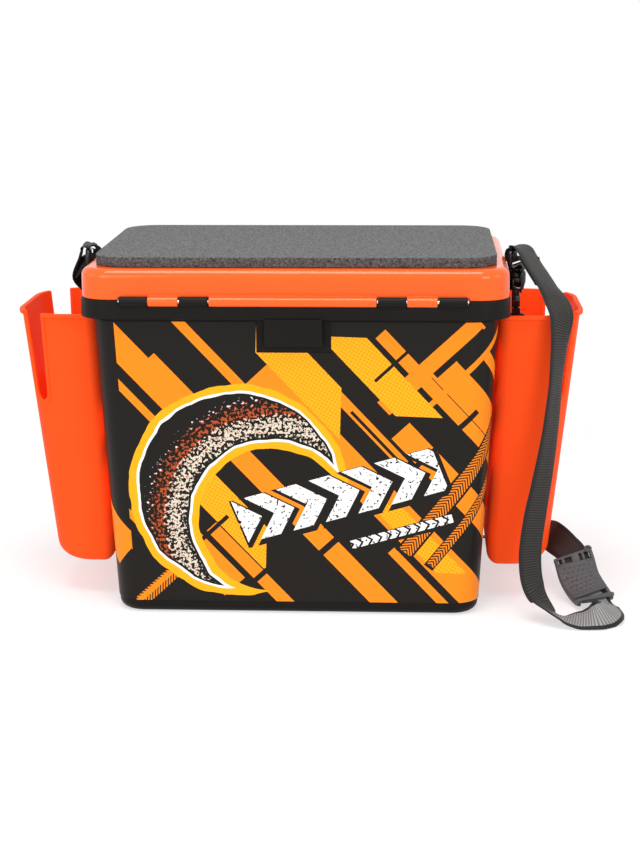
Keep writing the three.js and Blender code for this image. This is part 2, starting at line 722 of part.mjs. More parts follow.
function pocketShell() {
  const rings = [];
  for (let i = 0; i <= FILLET_STEPS; i++) {
    const angle = ((i / FILLET_STEPS) * Math.PI) / 2;
    const z = POCKET_BOTTOM + POCKET_FILLET * (1 - Math.cos(angle));
    rings.push(pocketRing(z, POCKET_FILLET * (1 - Math.sin(angle))));
  }
  rings.push(pocketRing(POCKET_TOP - POCKET_LIP_HEIGHT, 0));
  rings.push(pocketRing(POCKET_TOP - POCKET_LIP_HEIGHT + POCKET_LIP / 2, 0, POCKET_LIP));
  rings.push(pocketRing(POCKET_TOP, 0, POCKET_LIP));
  rings.push(pocketRing(POCKET_TOP, POCKET_WALL));
  const inner = POCKET_FILLET - POCKET_WALL;
  for (let i = FILLET_STEPS; i >= 0; i--) {
    const angle = ((i / FILLET_STEPS) * Math.PI) / 2;
    const z = POCKET_BOTTOM + POCKET_WALL + inner * (1 - Math.cos(angle));
    rings.push(pocketRing(z, POCKET_WALL + inner * (1 - Math.sin(angle))));
  }
  return loft(rings);
}

// The tool that cuts one rod slot through a pocket's outer corner; end is -1 or 1 along Y.
function slotTool(end) {
  const { front, half, corner } = pocketAt(POCKET_TOP);
  const shape = new THREE.Shape();
  const narrow = POCKET_TOP - SLOT_DEPTH + SLOT_END_RADIUS;
  const wide = SLOT_TOP_WIDTH / 2;
  shape.moveTo(wide, POCKET_TOP + OVERRUN);
  shape.lineTo(-wide, POCKET_TOP + OVERRUN);
  shape.lineTo(-SLOT_END_RADIUS, narrow);
  shape.absarc(0, narrow, SLOT_END_RADIUS, Math.PI, 2 * Math.PI, false);
  const tool = new THREE.ExtrudeGeometry(shape, {
    depth: corner,
    bevelEnabled: false,
    curveSegments: SMALL_SIDES,
  });
  const turn = Math.PI / 2 + end * THREE.MathUtils.degToRad(SLOT_ANGLE);
  return tool
    .rotateX(Math.PI / 2)
    .translate(0, corner + corner / 2, 0)
    .rotateZ(turn - Math.PI)
    .translate(front - corner, end * (half - corner), 0);
}

function pocket(side) {
  let shell = toSolid(pocketShell());
  for (const place of screwPlaces()) {
    const wall = tubAt(place.z).x;
    const tip = wall - WALL + SCREW_LENGTH;
    shell = shell.add(toSolid(screwRod(1, place, wall - WALL, tip + POCKET_WALL,
      SCREW_BOSS_RADIUS)));
    shell = cut(shell, screwRod(1, place, wall - WALL, tip + GAP, SCREW_RADIUS + GAP));
  }
  const clear = loft([tubRing(0, -GAP), tubRing(POCKET_TOP + OVERRUN, -GAP)]);
  const notch = LUG_THICK / 2 + LUG_NOTCH;
  const notchReach = pocketAt(POCKET_TOP).back + POCKET_WALL + OVERRUN;
  shell = cut(
    shell,
    clear,
    block(0, notchReach, -notch, notch, LUG_BOTTOM - LUG_NOTCH, POCKET_TOP + OVERRUN),
    slotTool(-1),
    slotTool(1),
  );
  const geometry = toGeometry(shell);
  return side < 0 ? geometry.rotateZ(Math.PI) : geometry;
}

function pocketScrew(side, place) {
  const wall = tubAt(place.z).x - WALL - GAP;
  const screw = joined(
    screwRod(side, place, wall, wall + SCREW_LENGTH, SCREW_RADIUS),
    screwRod(side, place, wall - SCREW_HEAD, wall, SCREW_HEAD_RADIUS),
  );
  return toGeometry(screw);
}

// Snap hook, drawn in its own frame: the middle of its round end at the origin, its opening
// towards -Y, its length up +Z.

const HOOK_X = LUG_HOLE_X;
const HOLE_TOP = LUG_HOLE_Z + Math.sqrt(LUG_HOLE_RADIUS ** 2 - (HOOK_THICK / 2) ** 2);
const HOOK_Z = HOLE_TOP - RUNNING + Math.sqrt(HOOK_INNER ** 2 - (LUG_THICK / 2) ** 2);
const EYE_TOP = HOOK_Z + HOOK_HEIGHT + GATE_GAP + EYE_FOOT + EYE_SLOT + EYE_BAR;

function flatPiece(shape, thick) {
  const plate = new THREE.ExtrudeGeometry(shape, {
    depth: thick,
    bevelEnabled: false,
    curveSegments: ARC_STEPS,
  });
  return plate.rotateX(Math.PI / 2).rotateZ(Math.PI / 2).translate(-thick / 2, 0, 0);
}

function hookBody() {
  const shape = new THREE.Shape();
  const shoulder = HOOK_HEIGHT - (HOOK_OUTER - HOOK_INNER);
  shape.moveTo(-HOOK_OUTER, HOOK_NOSE);
  shape.lineTo(-HOOK_OUTER, 0);
  shape.absarc(0, 0, HOOK_OUTER, Math.PI, 2 * Math.PI, false);
  shape.lineTo(HOOK_OUTER, shoulder);
  shape.lineTo(HOOK_INNER, HOOK_HEIGHT);
  shape.lineTo(-HOOK_INNER, HOOK_HEIGHT);
  shape.lineTo(-HOOK_OUTER, shoulder);
  shape.lineTo(-HOOK_OUTER, FORK_BOTTOM);
  shape.lineTo(-HOOK_OUTER + FORK_DEPTH, FORK_BOTTOM);
  shape.lineTo(-HOOK_OUTER + FORK_DEPTH, HOOK_THROAT);
  shape.lineTo(HOOK_INNER, HOOK_THROAT);
  shape.lineTo(HOOK_INNER, 0);
  shape.absarc(0, 0, HOOK_INNER, 2 * Math.PI, Math.PI, true);
  shape.lineTo(-HOOK_INNER, HOOK_NOSE);
  const forkHalf = FORK_SPACE / 2 + FORK_WALL;
  const cheeks = block(-forkHalf, forkHalf, -HOOK_OUTER, -HOOK_OUTER + FORK_DEPTH,
    FORK_BOTTOM, HOOK_HEIGHT - (HOOK_OUTER - HOOK_INNER));
  const barrel = rodAlongZ(0, 0, HOOK_THROAT, HOOK_HEIGHT, HOOK_BARREL);
  const hook = joined(flatPiece(shape, HOOK_THICK), cheeks, barrel);
  const past = HOOK_OUTER + OVERRUN;
  const fork = block(-FORK_SPACE / 2, FORK_SPACE / 2, -past, -HOOK_OUTER + FORK_DEPTH + OVERRUN,
    FORK_BOTTOM - OVERRUN, FORK_TOP);
  const reach = forkHalf + OVERRUN;
  const pinBore = rodAlongX(-reach, reach, -GATE_PIVOT_X, GATE_PIVOT_Z, GATE_PIN_RADIUS + GAP,
    SMALL_SIDES);
  const stemBore = rodAlongZ(0, 0, HOOK_THROAT - OVERRUN, HOOK_HEIGHT + OVERRUN,
    STEM_RADIUS + GAP);
  return toGeometry(cut(hook, fork, pinBore, stemBore));
}

function hookGate() {
  const knuckleFrom = -FORK_SPACE / 2 + GATE_GAP / 4;
  const knuckleTo = knuckleFrom + GATE_KNUCKLE_THICK;
  const half = GATE_WIDTH / 2;
  const foot = HOOK_NOSE + GATE_GAP;
  const gate = joined(
    rodAlongX(knuckleFrom, knuckleTo, -GATE_PIVOT_X, GATE_PIVOT_Z, GATE_KNUCKLE, SMALL_SIDES),
    block(knuckleFrom, knuckleTo, -GATE_PIVOT_X - half, -GATE_PIVOT_X + half,
      GATE_WIDE_TOP - OVERRUN, GATE_PIVOT_Z),
    block(-GATE_THICK / 2, GATE_THICK / 2, -GATE_PIVOT_X - half, -GATE_PIVOT_X + half, foot,
      GATE_WIDE_TOP),
    block(-GATE_THICK / 2, GATE_THICK / 2, -GATE_PIVOT_X - half - THUMB_OUT,
      -GATE_PIVOT_X - half + OVERRUN, THUMB_Z - THUMB_HEIGHT / 2, THUMB_Z + THUMB_HEIGHT / 2),
  );
  const bore = rodAlongX(knuckleFrom - OVERRUN, knuckleTo + OVERRUN, -GATE_PIVOT_X,
    GATE_PIVOT_Z, GATE_PIN_RADIUS + GAP, SMALL_SIDES);
  return toGeometry(cut(gate, bore));
}

function gatePin() {
  const half = FORK_SPACE / 2 + FORK_WALL;
  return rodAlongX(-half, half, -GATE_PIVOT_X, GATE_PIVOT_Z, GATE_PIN_RADIUS, SMALL_SIDES);
}

// The gate's return spring: an unbroken helix of wire round the gate pin.
function gateSpring() {
  const from = -FORK_SPACE / 2 + GATE_KNUCKLE_THICK + 2 * COIL_WIRE + GATE_GAP;
  const steps = COIL_TURNS * COIL_STEPS;
  const rings = [];
  for (let i = 0; i <= steps; i++) {
    const angle = (i / COIL_STEPS) * 2 * Math.PI;
    const ring = [];
    for (let k = 0; k < COIL_SIDES; k++) {
      const around = (-k / COIL_SIDES) * 2 * Math.PI;
      const radius = COIL_RADIUS + COIL_WIRE * Math.cos(around);
      ring.push([
        from + (i / COIL_STEPS) * COIL_PITCH + COIL_WIRE * Math.sin(around),
        -GATE_PIVOT_X + radius * Math.cos(angle),
        GATE_PIVOT_Z + radius * Math.sin(angle),
      ]);
    }
    rings.push(ring);
  }
  return loft(rings);
}

// The webbing eye, which swivels on its stem in the top of the hook
function strapEye(turn) {
  const foot = HOOK_HEIGHT + GATE_GAP;
  const slotFrom = foot + EYE_FOOT;
  const top = slotFrom + EYE_SLOT + EYE_BAR;
  const round = EYE_BAR / 2;
  const shape = new THREE.Shape();
  shape.moveTo(-HOOK_INNER, foot);
  shape.lineTo(HOOK_INNER, foot);
  shape.lineTo(EYE_HALF, slotFrom - round);
  shape.lineTo(EYE_HALF, top - round);
  shape.quadraticCurveTo(EYE_HALF, top, EYE_HALF - round, top);
  shape.lineTo(-EYE_HALF + round, top);
  shape.quadraticCurveTo(-EYE_HALF, top, -EYE_HALF, top - round);
  shape.lineTo(-EYE_HALF, slotFrom - round);
  const slot = new THREE.Path();
  slot.moveTo(-EYE_SLOT_HALF, slotFrom);
  slot.lineTo(-EYE_SLOT_HALF, slotFrom + EYE_SLOT);
  slot.lineTo(EYE_SLOT_HALF, slotFrom + EYE_SLOT);
  slot.lineTo(EYE_SLOT_HALF, slotFrom);
  shape.holes.push(slot);
  const headTop = HOOK_THROAT - GATE_GAP;
  const eye = joined(
    flatPiece(shape, EYE_BAR),
    rodAlongZ(0, 0, headTop - STEM_HEAD, foot + OVERRUN, STEM_RADIUS),
    rodAlongZ(0, 0, headTop - STEM_HEAD, headTop, STEM_HEAD_RADIUS),
  );
  return toGeometry(eye).rotateZ(-THREE.MathUtils.degToRad(turn));
}

// Shoulder strap: a flat band carried along its route, with its width laid as the route says

// A route's coordinate, moved with what it was laid for, in full from a distance outwards
function follow(value, moved, whole) {
  return value + moved * THREE.MathUtils.clamp(value / whole, -1, 1);
}

function strapFrames(from, to, steps) {
  const places = STRAP_ROUTE.map(
    ([x, y, z]) =>
      new THREE.Vector3(
        follow(x, HOOK_X - ROUTE_HOOK_X, ROUTE_WHOLE_X),
        follow(y, RIM_DEPTH / 2 - ROUTE_RIM_Y, ROUTE_WHOLE_Y),
        follow(z, EYE_TOP - ROUTE_EYE_TOP, ROUTE_WHOLE_Z),
      ),
  );
  const widths = STRAP_ROUTE.map(([, , , x, y, z]) => new THREE.Vector3(x, y, z));
  const path = new THREE.CatmullRomCurve3(places, false, "centripetal");
  const last = STRAP_ROUTE.length - 1;
  return Array.from({ length: steps + 1 }, (_, i) => {
    const at = mix(from, to, i / steps);
    const low = Math.min(Math.floor(at), last - 1);
    const middle = path.getPoint(at / last);
    const along = path.getTangent(at / last);
    const across = widths[low].clone().lerp(widths[low + 1], at - low);
    across.addScaledVector(along, -across.dot(along)).normalize();
    const face = new THREE.Vector3().crossVectors(across, along);
    const reach = (Math.abs(across.z) * STRAP_WIDTH + Math.abs(face.z) * STRAP_THICK) / 2;
    middle.z = Math.max(middle.z, reach + STRAP_OFF_GROUND);
    return { middle, across, face };
  });
}

function band(frames, width, thick, lift = 0) {
  const corners = [[-1, -1], [-1, 1], [1, 1], [1, -1]];
  return loft(
    frames.map(({ middle, across, face }) =>
      corners.map(([a, f]) =>
        middle
          .clone()
          .addScaledVector(across, (a * width) / 2)
          .addScaledVector(face, lift + (f * thick) / 2)
          .toArray(),
      ),
    ),
  );
}

function strap() {
  const last = STRAP_ROUTE.length - 1;
  return band(strapFrames(0, last, last * STRAP_STEPS_PER_POINT), STRAP_WIDTH, STRAP_THICK);
}

// A curved sleeve that the strap runs through, which sets its length
function strapSlider() {
  const steps = (SLIDER_TO_POINT - SLIDER_FROM_POINT) * STRAP_STEPS_PER_POINT;
  const step = 1 / STRAP_STEPS_PER_POINT;
  const frames = strapFrames(SLIDER_FROM_POINT, SLIDER_TO_POINT, steps);
  const longer = strapFrames(SLIDER_FROM_POINT - step, SLIDER_TO_POINT + step, steps + 2);
  const inside = STRAP_THICK + 2 * SLIDER_CLEARANCE;
  const sleeve = toSolid(band(frames, SLIDER_WIDTH, inside + 2 * SLIDER_WALL));
  const way = band(longer, STRAP_WIDTH + 2 * SLIDER_CLEARANCE, inside);
  return toGeometry(cut(sleeve, way));
}

// Assembly

const seatBox = new THREE.Group();

function add(name, geometry, look, group = seatBox) {
  const mesh = new THREE.Mesh(geometry, new THREE.MeshStandardMaterial(look));
  mesh.name = name;
  group.add(mesh);
}

add("tub_body", tubBody(), BLACK);
add("front_print_film", film(false), PRINT);
add("rear_print_film", film(true), PRINT);
add("lid_shell", lid(), ORANGE);
add("seat_pad", seatPad(), FOAM);
add("latch_lever", latchLever(), BLACK);
add("latch_pin", latchPin(), STEEL);
add("shoulder_strap", strap(), WEBBING);
add("strap_slider", strapSlider(), GREY);

for (const [name, side] of Object.entries(SIDES)) {
  add("hinge_pin_" + name, hingePin(side), STEEL);
  add("pocket_" + name, pocket(side), POCKET_ORANGE);
  for (const place of screwPlaces())
    add("pocket_screw_" + name + "_" + place.name, pocketScrew(side, place), STEEL);
  const hook = new THREE.Group();
  hook.position.set(side * HOOK_X, 0, HOOK_Z);
  hook.rotation.z = side < 0 ? Math.PI : 0;
  seatBox.add(hook);
  add("snap_hook_" + name, hookBody(), BLACK, hook);
  add("hook_gate_" + name, hookGate(), BLACK, hook);
  add("gate_pin_" + name, gatePin(), STEEL, hook);
  add("gate_spring_" + name, gateSpring(), STEEL, hook);
  add("strap_eye_" + name, strapEye(EYE_TURN[name]), BLACK, hook);
}

export default seatBox;
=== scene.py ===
import math
from functools import partial

import bmesh
import bpy
import numpy as np
from mathutils import Matrix


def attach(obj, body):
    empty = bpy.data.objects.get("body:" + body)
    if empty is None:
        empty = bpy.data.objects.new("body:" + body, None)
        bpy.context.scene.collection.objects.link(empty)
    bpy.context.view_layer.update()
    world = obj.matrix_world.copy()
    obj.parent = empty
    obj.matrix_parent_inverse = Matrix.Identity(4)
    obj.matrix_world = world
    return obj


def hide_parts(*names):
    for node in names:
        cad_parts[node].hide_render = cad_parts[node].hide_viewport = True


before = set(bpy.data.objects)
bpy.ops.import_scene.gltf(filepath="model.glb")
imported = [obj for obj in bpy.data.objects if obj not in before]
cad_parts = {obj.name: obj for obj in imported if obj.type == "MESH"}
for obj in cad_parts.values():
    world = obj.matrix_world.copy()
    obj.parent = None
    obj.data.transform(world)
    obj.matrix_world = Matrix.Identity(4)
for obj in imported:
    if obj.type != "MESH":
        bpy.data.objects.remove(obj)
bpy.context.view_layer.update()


# Camera. It stands a little above the box and looks at its hinge side.
CAMERA_PLACE = (0.1094, -1.7581, 0.5630)
CAMERA_PITCH = math.radians(13.13)
CAMERA_YAW = math.radians(-3.02)
CAMERA_ROLL = math.radians(-0.30)
LENS_MM = 78.96
SENSOR_MM = 36.0
CLIP_END = 50


def unit(vectors):
    """Each row of an array divided by its own length."""
    return vectors / np.linalg.norm(vectors, axis=-1, keepdims=True)


def put_at(name, data, side, up, back, place):
    """An object whose axes lie along side, up and back, at a place in metres."""
    axes = np.eye(4)
    axes[:3] = np.stack([side, up, back, place], axis=1)
    obj = bpy.data.objects.new(name, data)
    obj.matrix_world = Matrix(axes.tolist())
    bpy.context.scene.collection.objects.link(obj)
    return obj


camera_data = bpy.data.cameras.new("camera")
camera_data.lens = LENS_MM
camera_data.sensor_width = SENSOR_MM
camera_data.clip_end = CLIP_END
forward = np.array(
    [
        math.sin(CAMERA_YAW) * math.cos(CAMERA_PITCH),
        math.cos(CAMERA_YAW) * math.cos(CAMERA_PITCH),
        -math.sin(CAMERA_PITCH),
    ]
)
level = np.array([math.cos(CAMERA_YAW), -math.sin(CAMERA_YAW), 0.0])
upright = np.cross(level, forward)
camera_right = math.cos(CAMERA_ROLL) * level + math.sin(CAMERA_ROLL) * upright
camera_up = math.cos(CAMERA_ROLL) * upright - math.sin(CAMERA_ROLL) * level
camera = put_at("camera", camera_data, camera_right, camera_up, -forward, CAMERA_PLACE)
bpy.context.scene.camera = camera
bpy.context.scene.view_settings.view_transform = "Standard"


# Studio. The box stands on white paper under a large soft top light, with two lights in front
# and a weaker fill on each side. Each light has its place, its size in metres and its watts.
LIGHTS = {
    "top_light": ((-0.1, -0.5, 2.2), 1.05, 27),
    "left_front": ((-1.1, -2.3, 0.9), 1.2, 19),
    "right_front": ((1.1, -2.3, 0.9), 1.2, 21),
    "left_fill": ((-2.3, -0.7, 0.9), 1.2, 7),
    "right_fill": ((2.3, -0.7, 0.9), 1.2, 7),
}
LIT_POINT = (0.0, 0.0, 0.15)
ROOM_LIGHT = 0.42
FLOOR_HALF = 6.0
NEAR_FLOOR = 0.4
FAR_FLOOR = 0.9
PAPER_GREY = (0.5, 0.5, 0.5)
PAPER_GLOW = 0.55
WHITE = (1.0, 1.0, 1.0, 1.0)

for light_name, (place, size, power) in LIGHTS.items():
    light = bpy.data.lights.new(light_name, "AREA")
    light.shape = "SQUARE"
    light.size = size
    light.energy = power
    away = unit(np.subtract(place, LIT_POINT))
    side = unit(np.cross((0.0, 0.0, 1.0), away))
    put_at(light_name, light, side, np.cross(away, side), away, place)


def feed(node, inputs):
    """Give a node's inputs their values, each plain or the output of another node."""
    for key, value in inputs.items():
        if isinstance(value, bpy.types.NodeSocket):
            node.id_data.links.new(value, node.inputs[key])
        else:
            node.inputs[key].default_value = value
    return node


def add_node(tree, kind, settings=None, inputs=None):
    """A node of one kind, with its settings and its inputs."""
    made = tree.nodes.new("ShaderNode" + kind)
    for key, value in (settings or {}).items():
        setattr(made, key, value)
    return feed(made, inputs or {})


def sums(tree, operation, *values):
    """One sum on numbers or sockets, given back as its output socket."""
    return add_node(tree, "Math", {"operation": operation}, dict(enumerate(values))).outputs[0]


# The world lights the scene as a soft room. The camera, mirrors and glass see it plain white.
world = bpy.data.worlds.new("studio")
bpy.context.scene.world = world
world.use_nodes = True
sky = world.node_tree
sky.nodes.clear()
room = add_node(sky, "Background", None, {"Color": WHITE, "Strength": ROOM_LIGHT})
backdrop = add_node(sky, "Background", None, {"Color": WHITE, "Strength": 1.0})
path = add_node(sky, "LightPath").outputs
seen = sums(sky, "MAXIMUM", path["Is Camera Ray"], path["Is Glossy Ray"])
seen = sums(sky, "MAXIMUM", seen, path["Is Transmission Ray"])
shown = add_node(sky, "MixShader", None, {0: seen, 1: room.outputs[0], 2: backdrop.outputs[0]})
add_node(sky, "OutputWorld", None, {0: shown.outputs[0]})


def map_range(tree, value, start, end, low=0.0, high=1.0, kind="LINEAR"):
    """A value carried over from the range start to end into the range low to high."""
    inputs = {"Value": value, "From Min": start, "From Max": end, "To Min": low, "To Max": high}
    return add_node(tree, "MapRange", {"interpolation_type": kind}, inputs).outputs[0]


def principled(name, colour, roughness, more=None):
    """A new material, its node tree and its Principled shader."""
    material = bpy.data.materials.new(name)
    material.use_nodes = True
    shader = material.node_tree.nodes["Principled BSDF"]
    feed(shader, {"Base Color": (*colour, 1.0), "Roughness": roughness, **(more or {})})
    return material, material.node_tree, shader


# The paper takes shadows near the box and fades into plain white farther off.
paper, paper_tree, paper_shader = principled(
    "white paper",
    PAPER_GREY,
    0.9,
    {"Specular IOR Level": 0.0, "Emission Color": WHITE, "Emission Strength": PAPER_GLOW},
)
paper_place = add_node(paper_tree, "TexCoord").outputs["Object"]
far_off = add_node(paper_tree, "VectorMath", {"operation": "LENGTH"}, {0: paper_place})
paper_share = map_range(
    paper_tree, far_off.outputs["Value"], NEAR_FLOOR, FAR_FLOOR, kind="SMOOTHSTEP"
)
far_paper = add_node(paper_tree, "Emission", None, {"Color": WHITE}).outputs[0]
paper_mix = {0: paper_share, 1: paper_shader.outputs[0], 2: far_paper}
near_or_far = add_node(paper_tree, "MixShader", None, paper_mix)
feed(paper_tree.nodes["Material Output"], {0: near_or_far.outputs[0]})

floor_mesh = bpy.data.meshes.new("floor")
floor_corners = [
    (x * FLOOR_HALF, y * FLOOR_HALF, 0.0) for x, y in ((-1, -1), (1, -1), (1, 1), (-1, 1))
]
floor_mesh.from_pydata(floor_corners, [], [(0, 1, 2, 3)])
floor_mesh.materials.append(paper)
floor = bpy.data.objects.new("floor", floor_mesh)
bpy.context.scene.collection.objects.link(floor)


# Shoulder strap. A band of ribbed polypropylene webbing, 30 mm wide, with smooth selvedges.
# It hangs from an eye on each short side, and the slack lies on the floor behind the box.
# Lengths are in millimetres from here on, but where a shader reads them.
MM = 0.001
SHARP_DEGREES = 35
STRAP_WIDTH = 29.6
STRAP_THICK = 1.6
STRAP_OFF_GROUND = 0.5
STEPS_PER_POINT = 8
SELVEDGE_SHARE = 0.73
RIB_PITCH = 2.4
# Each row is a point and the way the width lies there.
STRAP_ROUTE = [
    [201.4, 0.7, 327.4, 0.42, 0.91, 0],
    [204.9, -1.2, 327.5, 0.42, 0.91, 0],
    [209.2, -8, 325.2, 0.4, 0.91, -0.05],
    [218, -30, 313.4, 0.55, 0.83, -0.12],
    [227.5, -52, 300, 0.55, 0.8, -0.1],
    [235.8, -68, 287.4, 0.73, 0.68, 0],
    [239.2, -82, 276, 0.7, 0.72, 0],
    [238.8, -89, 264, 0.65, 0.75, 0],
    [237.5, -92, 248, 0.55, 0.83, 0],
    [235, -94, 215.2, 0.46, 0.89, 0],
    [230.9, -97, 171.3, 0.55, 0.83, 0],
    [224.3, -101, 127.3, 0.67, 0.74, 0],
    [218.4, -105, 94.3, 0.74, 0.67, 0],
    [214.4, -110, 61.5, 0.74, 0.68, 0],
    [215.4, -114, 39.8, 0.71, 0.71, 0],
    [218.2, -117, 29.3, 0.68, 0.74, 0],
    [223.8, -119, 18.5, 0.55, 0.84, -0.1],
    [232.3, -129, 11.2, 0.22, 0.87, -0.26],
    [243.5, -132.8, 5.8, -0.11, 0.98, -0.11],
    [257.2, -135.5, 5.4, -0.08, 0.97, 0.22],
    [266.7, -137, 6.6, -0.22, 0.83, 0.32],
    [275, -137.5, 9, -0.39, 0.57, 0.46],
    [283.5, -133, 11.6, -0.7, 0.15, 0.56],
    [288.3, -118, 11, -0.79, 0.03, 0.48],
    [284.5, -103, 9.6, -0.9, 0.1, 0.2],
    [277.6, -85, 7.2, -0.94, 0.18, 0.05],
    [265, -60, 20, -0.98, -0.03, -0.09],
    [258.4, -41.5, 38.5, -0.96, -0.04, -0.21],
    [249.8, -23.5, 43.5, -0.88, -0.13, -0.53],
    [242, -5, 46, -0.55, -0.15, -0.86],
    [239.8, 20, 40, -0.2, -0.15, -0.95],
    [238, 48, 31, 0.05, 0.1, -0.99],
    [231, 78, 24, 0.15, 0.2, -0.95],
    [215, 107, 16, 0.35, 0.5, -0.75],
    [188, 128, 5.5, 0.2, 0.93, -0.25],
    [150, 136, 1.4, 0, 1, 0],
    [90, 142, 1.4, 0, 1, 0],
    [30, 140, 1.4, 0, 1, 0],
    [-30, 144, 1.4, 0, 1, 0],
    [-90, 143, 1.4, 0, 1, 0],
    [-145, 144, 1.4, 0, 1, 0],
    [-176, 139, 6, 0.3, 0.95, 0],
    [-189, 132, 26, 0.7, 0.7, 0],
    [-190.5, 130, 70, 0.7, 0.7, 0],
    [-191, 130, 130, 0.7, 0.7, 0],
    [-191, 130, 190, 0.7, 0.7, 0],
    [-192, 129, 236, 0.7, 0.7, 0],
    [-194, 126, 262, 0.6, 0.8, 0],
    [-198.5, 111, 284, 0.5, 0.5, 0.6],
    [-202.5, 85, 293.5, 0.35, 0.1, 0.93],
    [-203.5, 58, 292, 0.15, 0, 0.97],
    [-203.5, 31, 291, 0.1, 0.2, 0.97],
    [-210.3, 17, 296, 0.2, 0.5, 0.84],
    [-215.8, 4, 304.5, 0.1, 0.93, 0.3],
    [-211.5, 1.2, 316.6, -0.05, 0.99, 0.05],
    [-207.4, 0.2, 327.3, -0.13, 0.99, 0],
    [-201.2, -0.6, 328.1, -0.14, 0.99, 0],
]


def smooth_route(points, steps):
    """A centripetal Catmull-Rom curve: a cubic for each span, whose end slopes come from the
    chords on either side, weighted by the square roots of their lengths."""
    ends = np.vstack([2 * points[0] - points[1], points, 2 * points[-1] - points[-2]])
    p0, p1, p2, p3 = ends[:-3], ends[1:-2], ends[2:-1], ends[3:]
    d0, d1, d2 = (
        np.sqrt(np.linalg.norm(b - a, axis=1))[:, None]
        for a, b in ((p0, p1), (p1, p2), (p2, p3))
    )
    m1 = ((p1 - p0) / d0 - (p2 - p0) / (d0 + d1) + (p2 - p1) / d1) * d1
    m2 = ((p2 - p1) / d1 - (p3 - p1) / (d1 + d2) + (p3 - p2) / d2) * d1
    square = 3 * (p2 - p1) - 2 * m1 - m2
    cube = 2 * (p1 - p2) + m1 + m2
    t = (np.arange(steps) / steps)[None, :, None]
    p1, m1, square, cube = (a[:, None, :] for a in (p1, m1, square, cube))
    curve = p1 + m1 * t + square * t**2 + cube * t**3
    slope = m1 + 2 * square * t + 3 * cube * t**2
    line = np.vstack([curve.reshape(-1, 3), points[-1]])
    along = np.vstack([slope.reshape(-1, 3), m2[-1]])
    return line, unit(along)


def band_frames(route):
    """Along a route: the middle of the band, the way its width lies and the way its face
    looks."""
    route = np.array(route)
    line, along = smooth_route(route[:, :3], STEPS_PER_POINT)
    count = len(route)
    at = np.arange((count - 1) * STEPS_PER_POINT + 1) / STEPS_PER_POINT
    width = np.stack([np.interp(at, np.arange(count), route[:, 3 + k]) for k in range(3)], 1)
    across = unit(width - along * np.sum(width * along, axis=1, keepdims=True))
    return line, across, np.cross(across, along)


def strap_frames(first, last):
    """The band's frames from one of the route's points to another, clear of the ground."""
    line, across, face = band_frames(STRAP_ROUTE)
    reach = (np.abs(across[:, 2]) * STRAP_WIDTH + np.abs(face[:, 2]) * STRAP_THICK) / 2
    line[:, 2] = np.maximum(line[:, 2], reach + STRAP_OFF_GROUND)
    part = slice(first * STEPS_PER_POINT, last * STEPS_PER_POINT + 1)
    return line[part], across[part], face[part]


def skin(rings, closed=False):
    """A shape through rings of like count. The first and last ring are filled in, or joined
    to each other when closed."""
    rings = np.asarray(rings, dtype=float)
    total, count = rings.shape[:2]
    ring = np.arange(total if closed else total - 1)[:, None] * count
    i = np.arange(count)[None, :]
    j = (i + 1) % count
    after = (ring + count) % (total * count)
    quads = np.stack([ring + i, ring + j, after + j, after + i], axis=-1)
    faces = quads.reshape(-1, 4).tolist()
    if not closed:
        faces.append(list(range(count))[::-1])
        faces.append(list(range((total - 1) * count, total * count)))
    return rings.reshape(-1, 3), faces


def swept(frames, outline, closed=False):
    """An outline of (across, up) offsets carried along frames: middle + across x + face y.
    The outline is one for all frames, or one each."""
    middle, across, face = frames
    outline = np.broadcast_to(outline, (len(middle),) + np.asarray(outline).shape[-2:])
    rings = (
        middle[:, None, :]
        + across[:, None, :] * outline[..., 0, None]
        + face[:, None, :] * outline[..., 1, None]
    )
    return skin(rings, closed)


def run_along(path):
    """The length of a path up to each of its points."""
    return np.concatenate([[0.0], np.cumsum(np.linalg.norm(np.diff(path, axis=0), axis=1))])


def smooth(obj, sharp_degrees=SHARP_DEGREES):
    """Smooth shading but for the edges that are sharper than the angle."""
    mesh = obj.data
    mesh.polygons.foreach_set("use_smooth", np.ones(len(mesh.polygons), dtype=bool))
    mesh.set_sharp_from_angle(angle=math.radians(sharp_degrees))


def put_mesh(name, shape, material, sharp_degrees=SHARP_DEGREES, uv=None):
    """A mesh object of a shape, which is points in millimetres and faces, with the faces
    turned outwards and smoothed."""
    mesh = bpy.data.meshes.new(name)
    mesh.from_pydata((np.asarray(shape[0]) * MM).tolist(), [], shape[1])
    if uv is not None:
        layer = mesh.uv_layers.new(name="UVMap")
        corner = np.empty(len(mesh.loops), dtype=np.int32)
        mesh.loops.foreach_get("vertex_index", corner)
        layer.data.foreach_set("uv", (uv.reshape(-1, 2)[corner] * MM).ravel())
    work = bmesh.new()
    work.from_mesh(mesh)
    bmesh.ops.recalc_face_normals(work, faces=work.faces)
    work.to_mesh(mesh)
    work.free()
    obj = bpy.data.objects.new(name, mesh)
    bpy.context.scene.collection.objects.link(obj)
    if material is not None:
        mesh.materials.append(material)
    smooth(obj, sharp_degrees)
    return obj


def install(obj, body, node, flats=False):
    """The piece rides on a body and stands for a node. Its large flat faces are kept flat in
    the shading if flats is set."""
    if flats:
        obj.modifiers.new("flats", "WEIGHTED_NORMAL").keep_sharp = True
    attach(obj, body)
    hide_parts(node)
    return obj


# A mix node's colours come after its sockets for numbers and vectors.
MIX_COLOUR_INPUTS = (0, 6, 7)
MIX_COLOUR_OUTPUT = 2


def colour_mix(tree, share, first, second):
    """A colour between two, by a share. The colours are plain triples or sockets."""
    colours = [(*c, 1.0) if isinstance(c, tuple) else c for c in (first, second)]
    inputs = dict(zip(MIX_COLOUR_INPUTS, (share, *colours)))
    return add_node(tree, "Mix", {"data_type": "RGBA"}, inputs).outputs[MIX_COLOUR_OUTPUT]


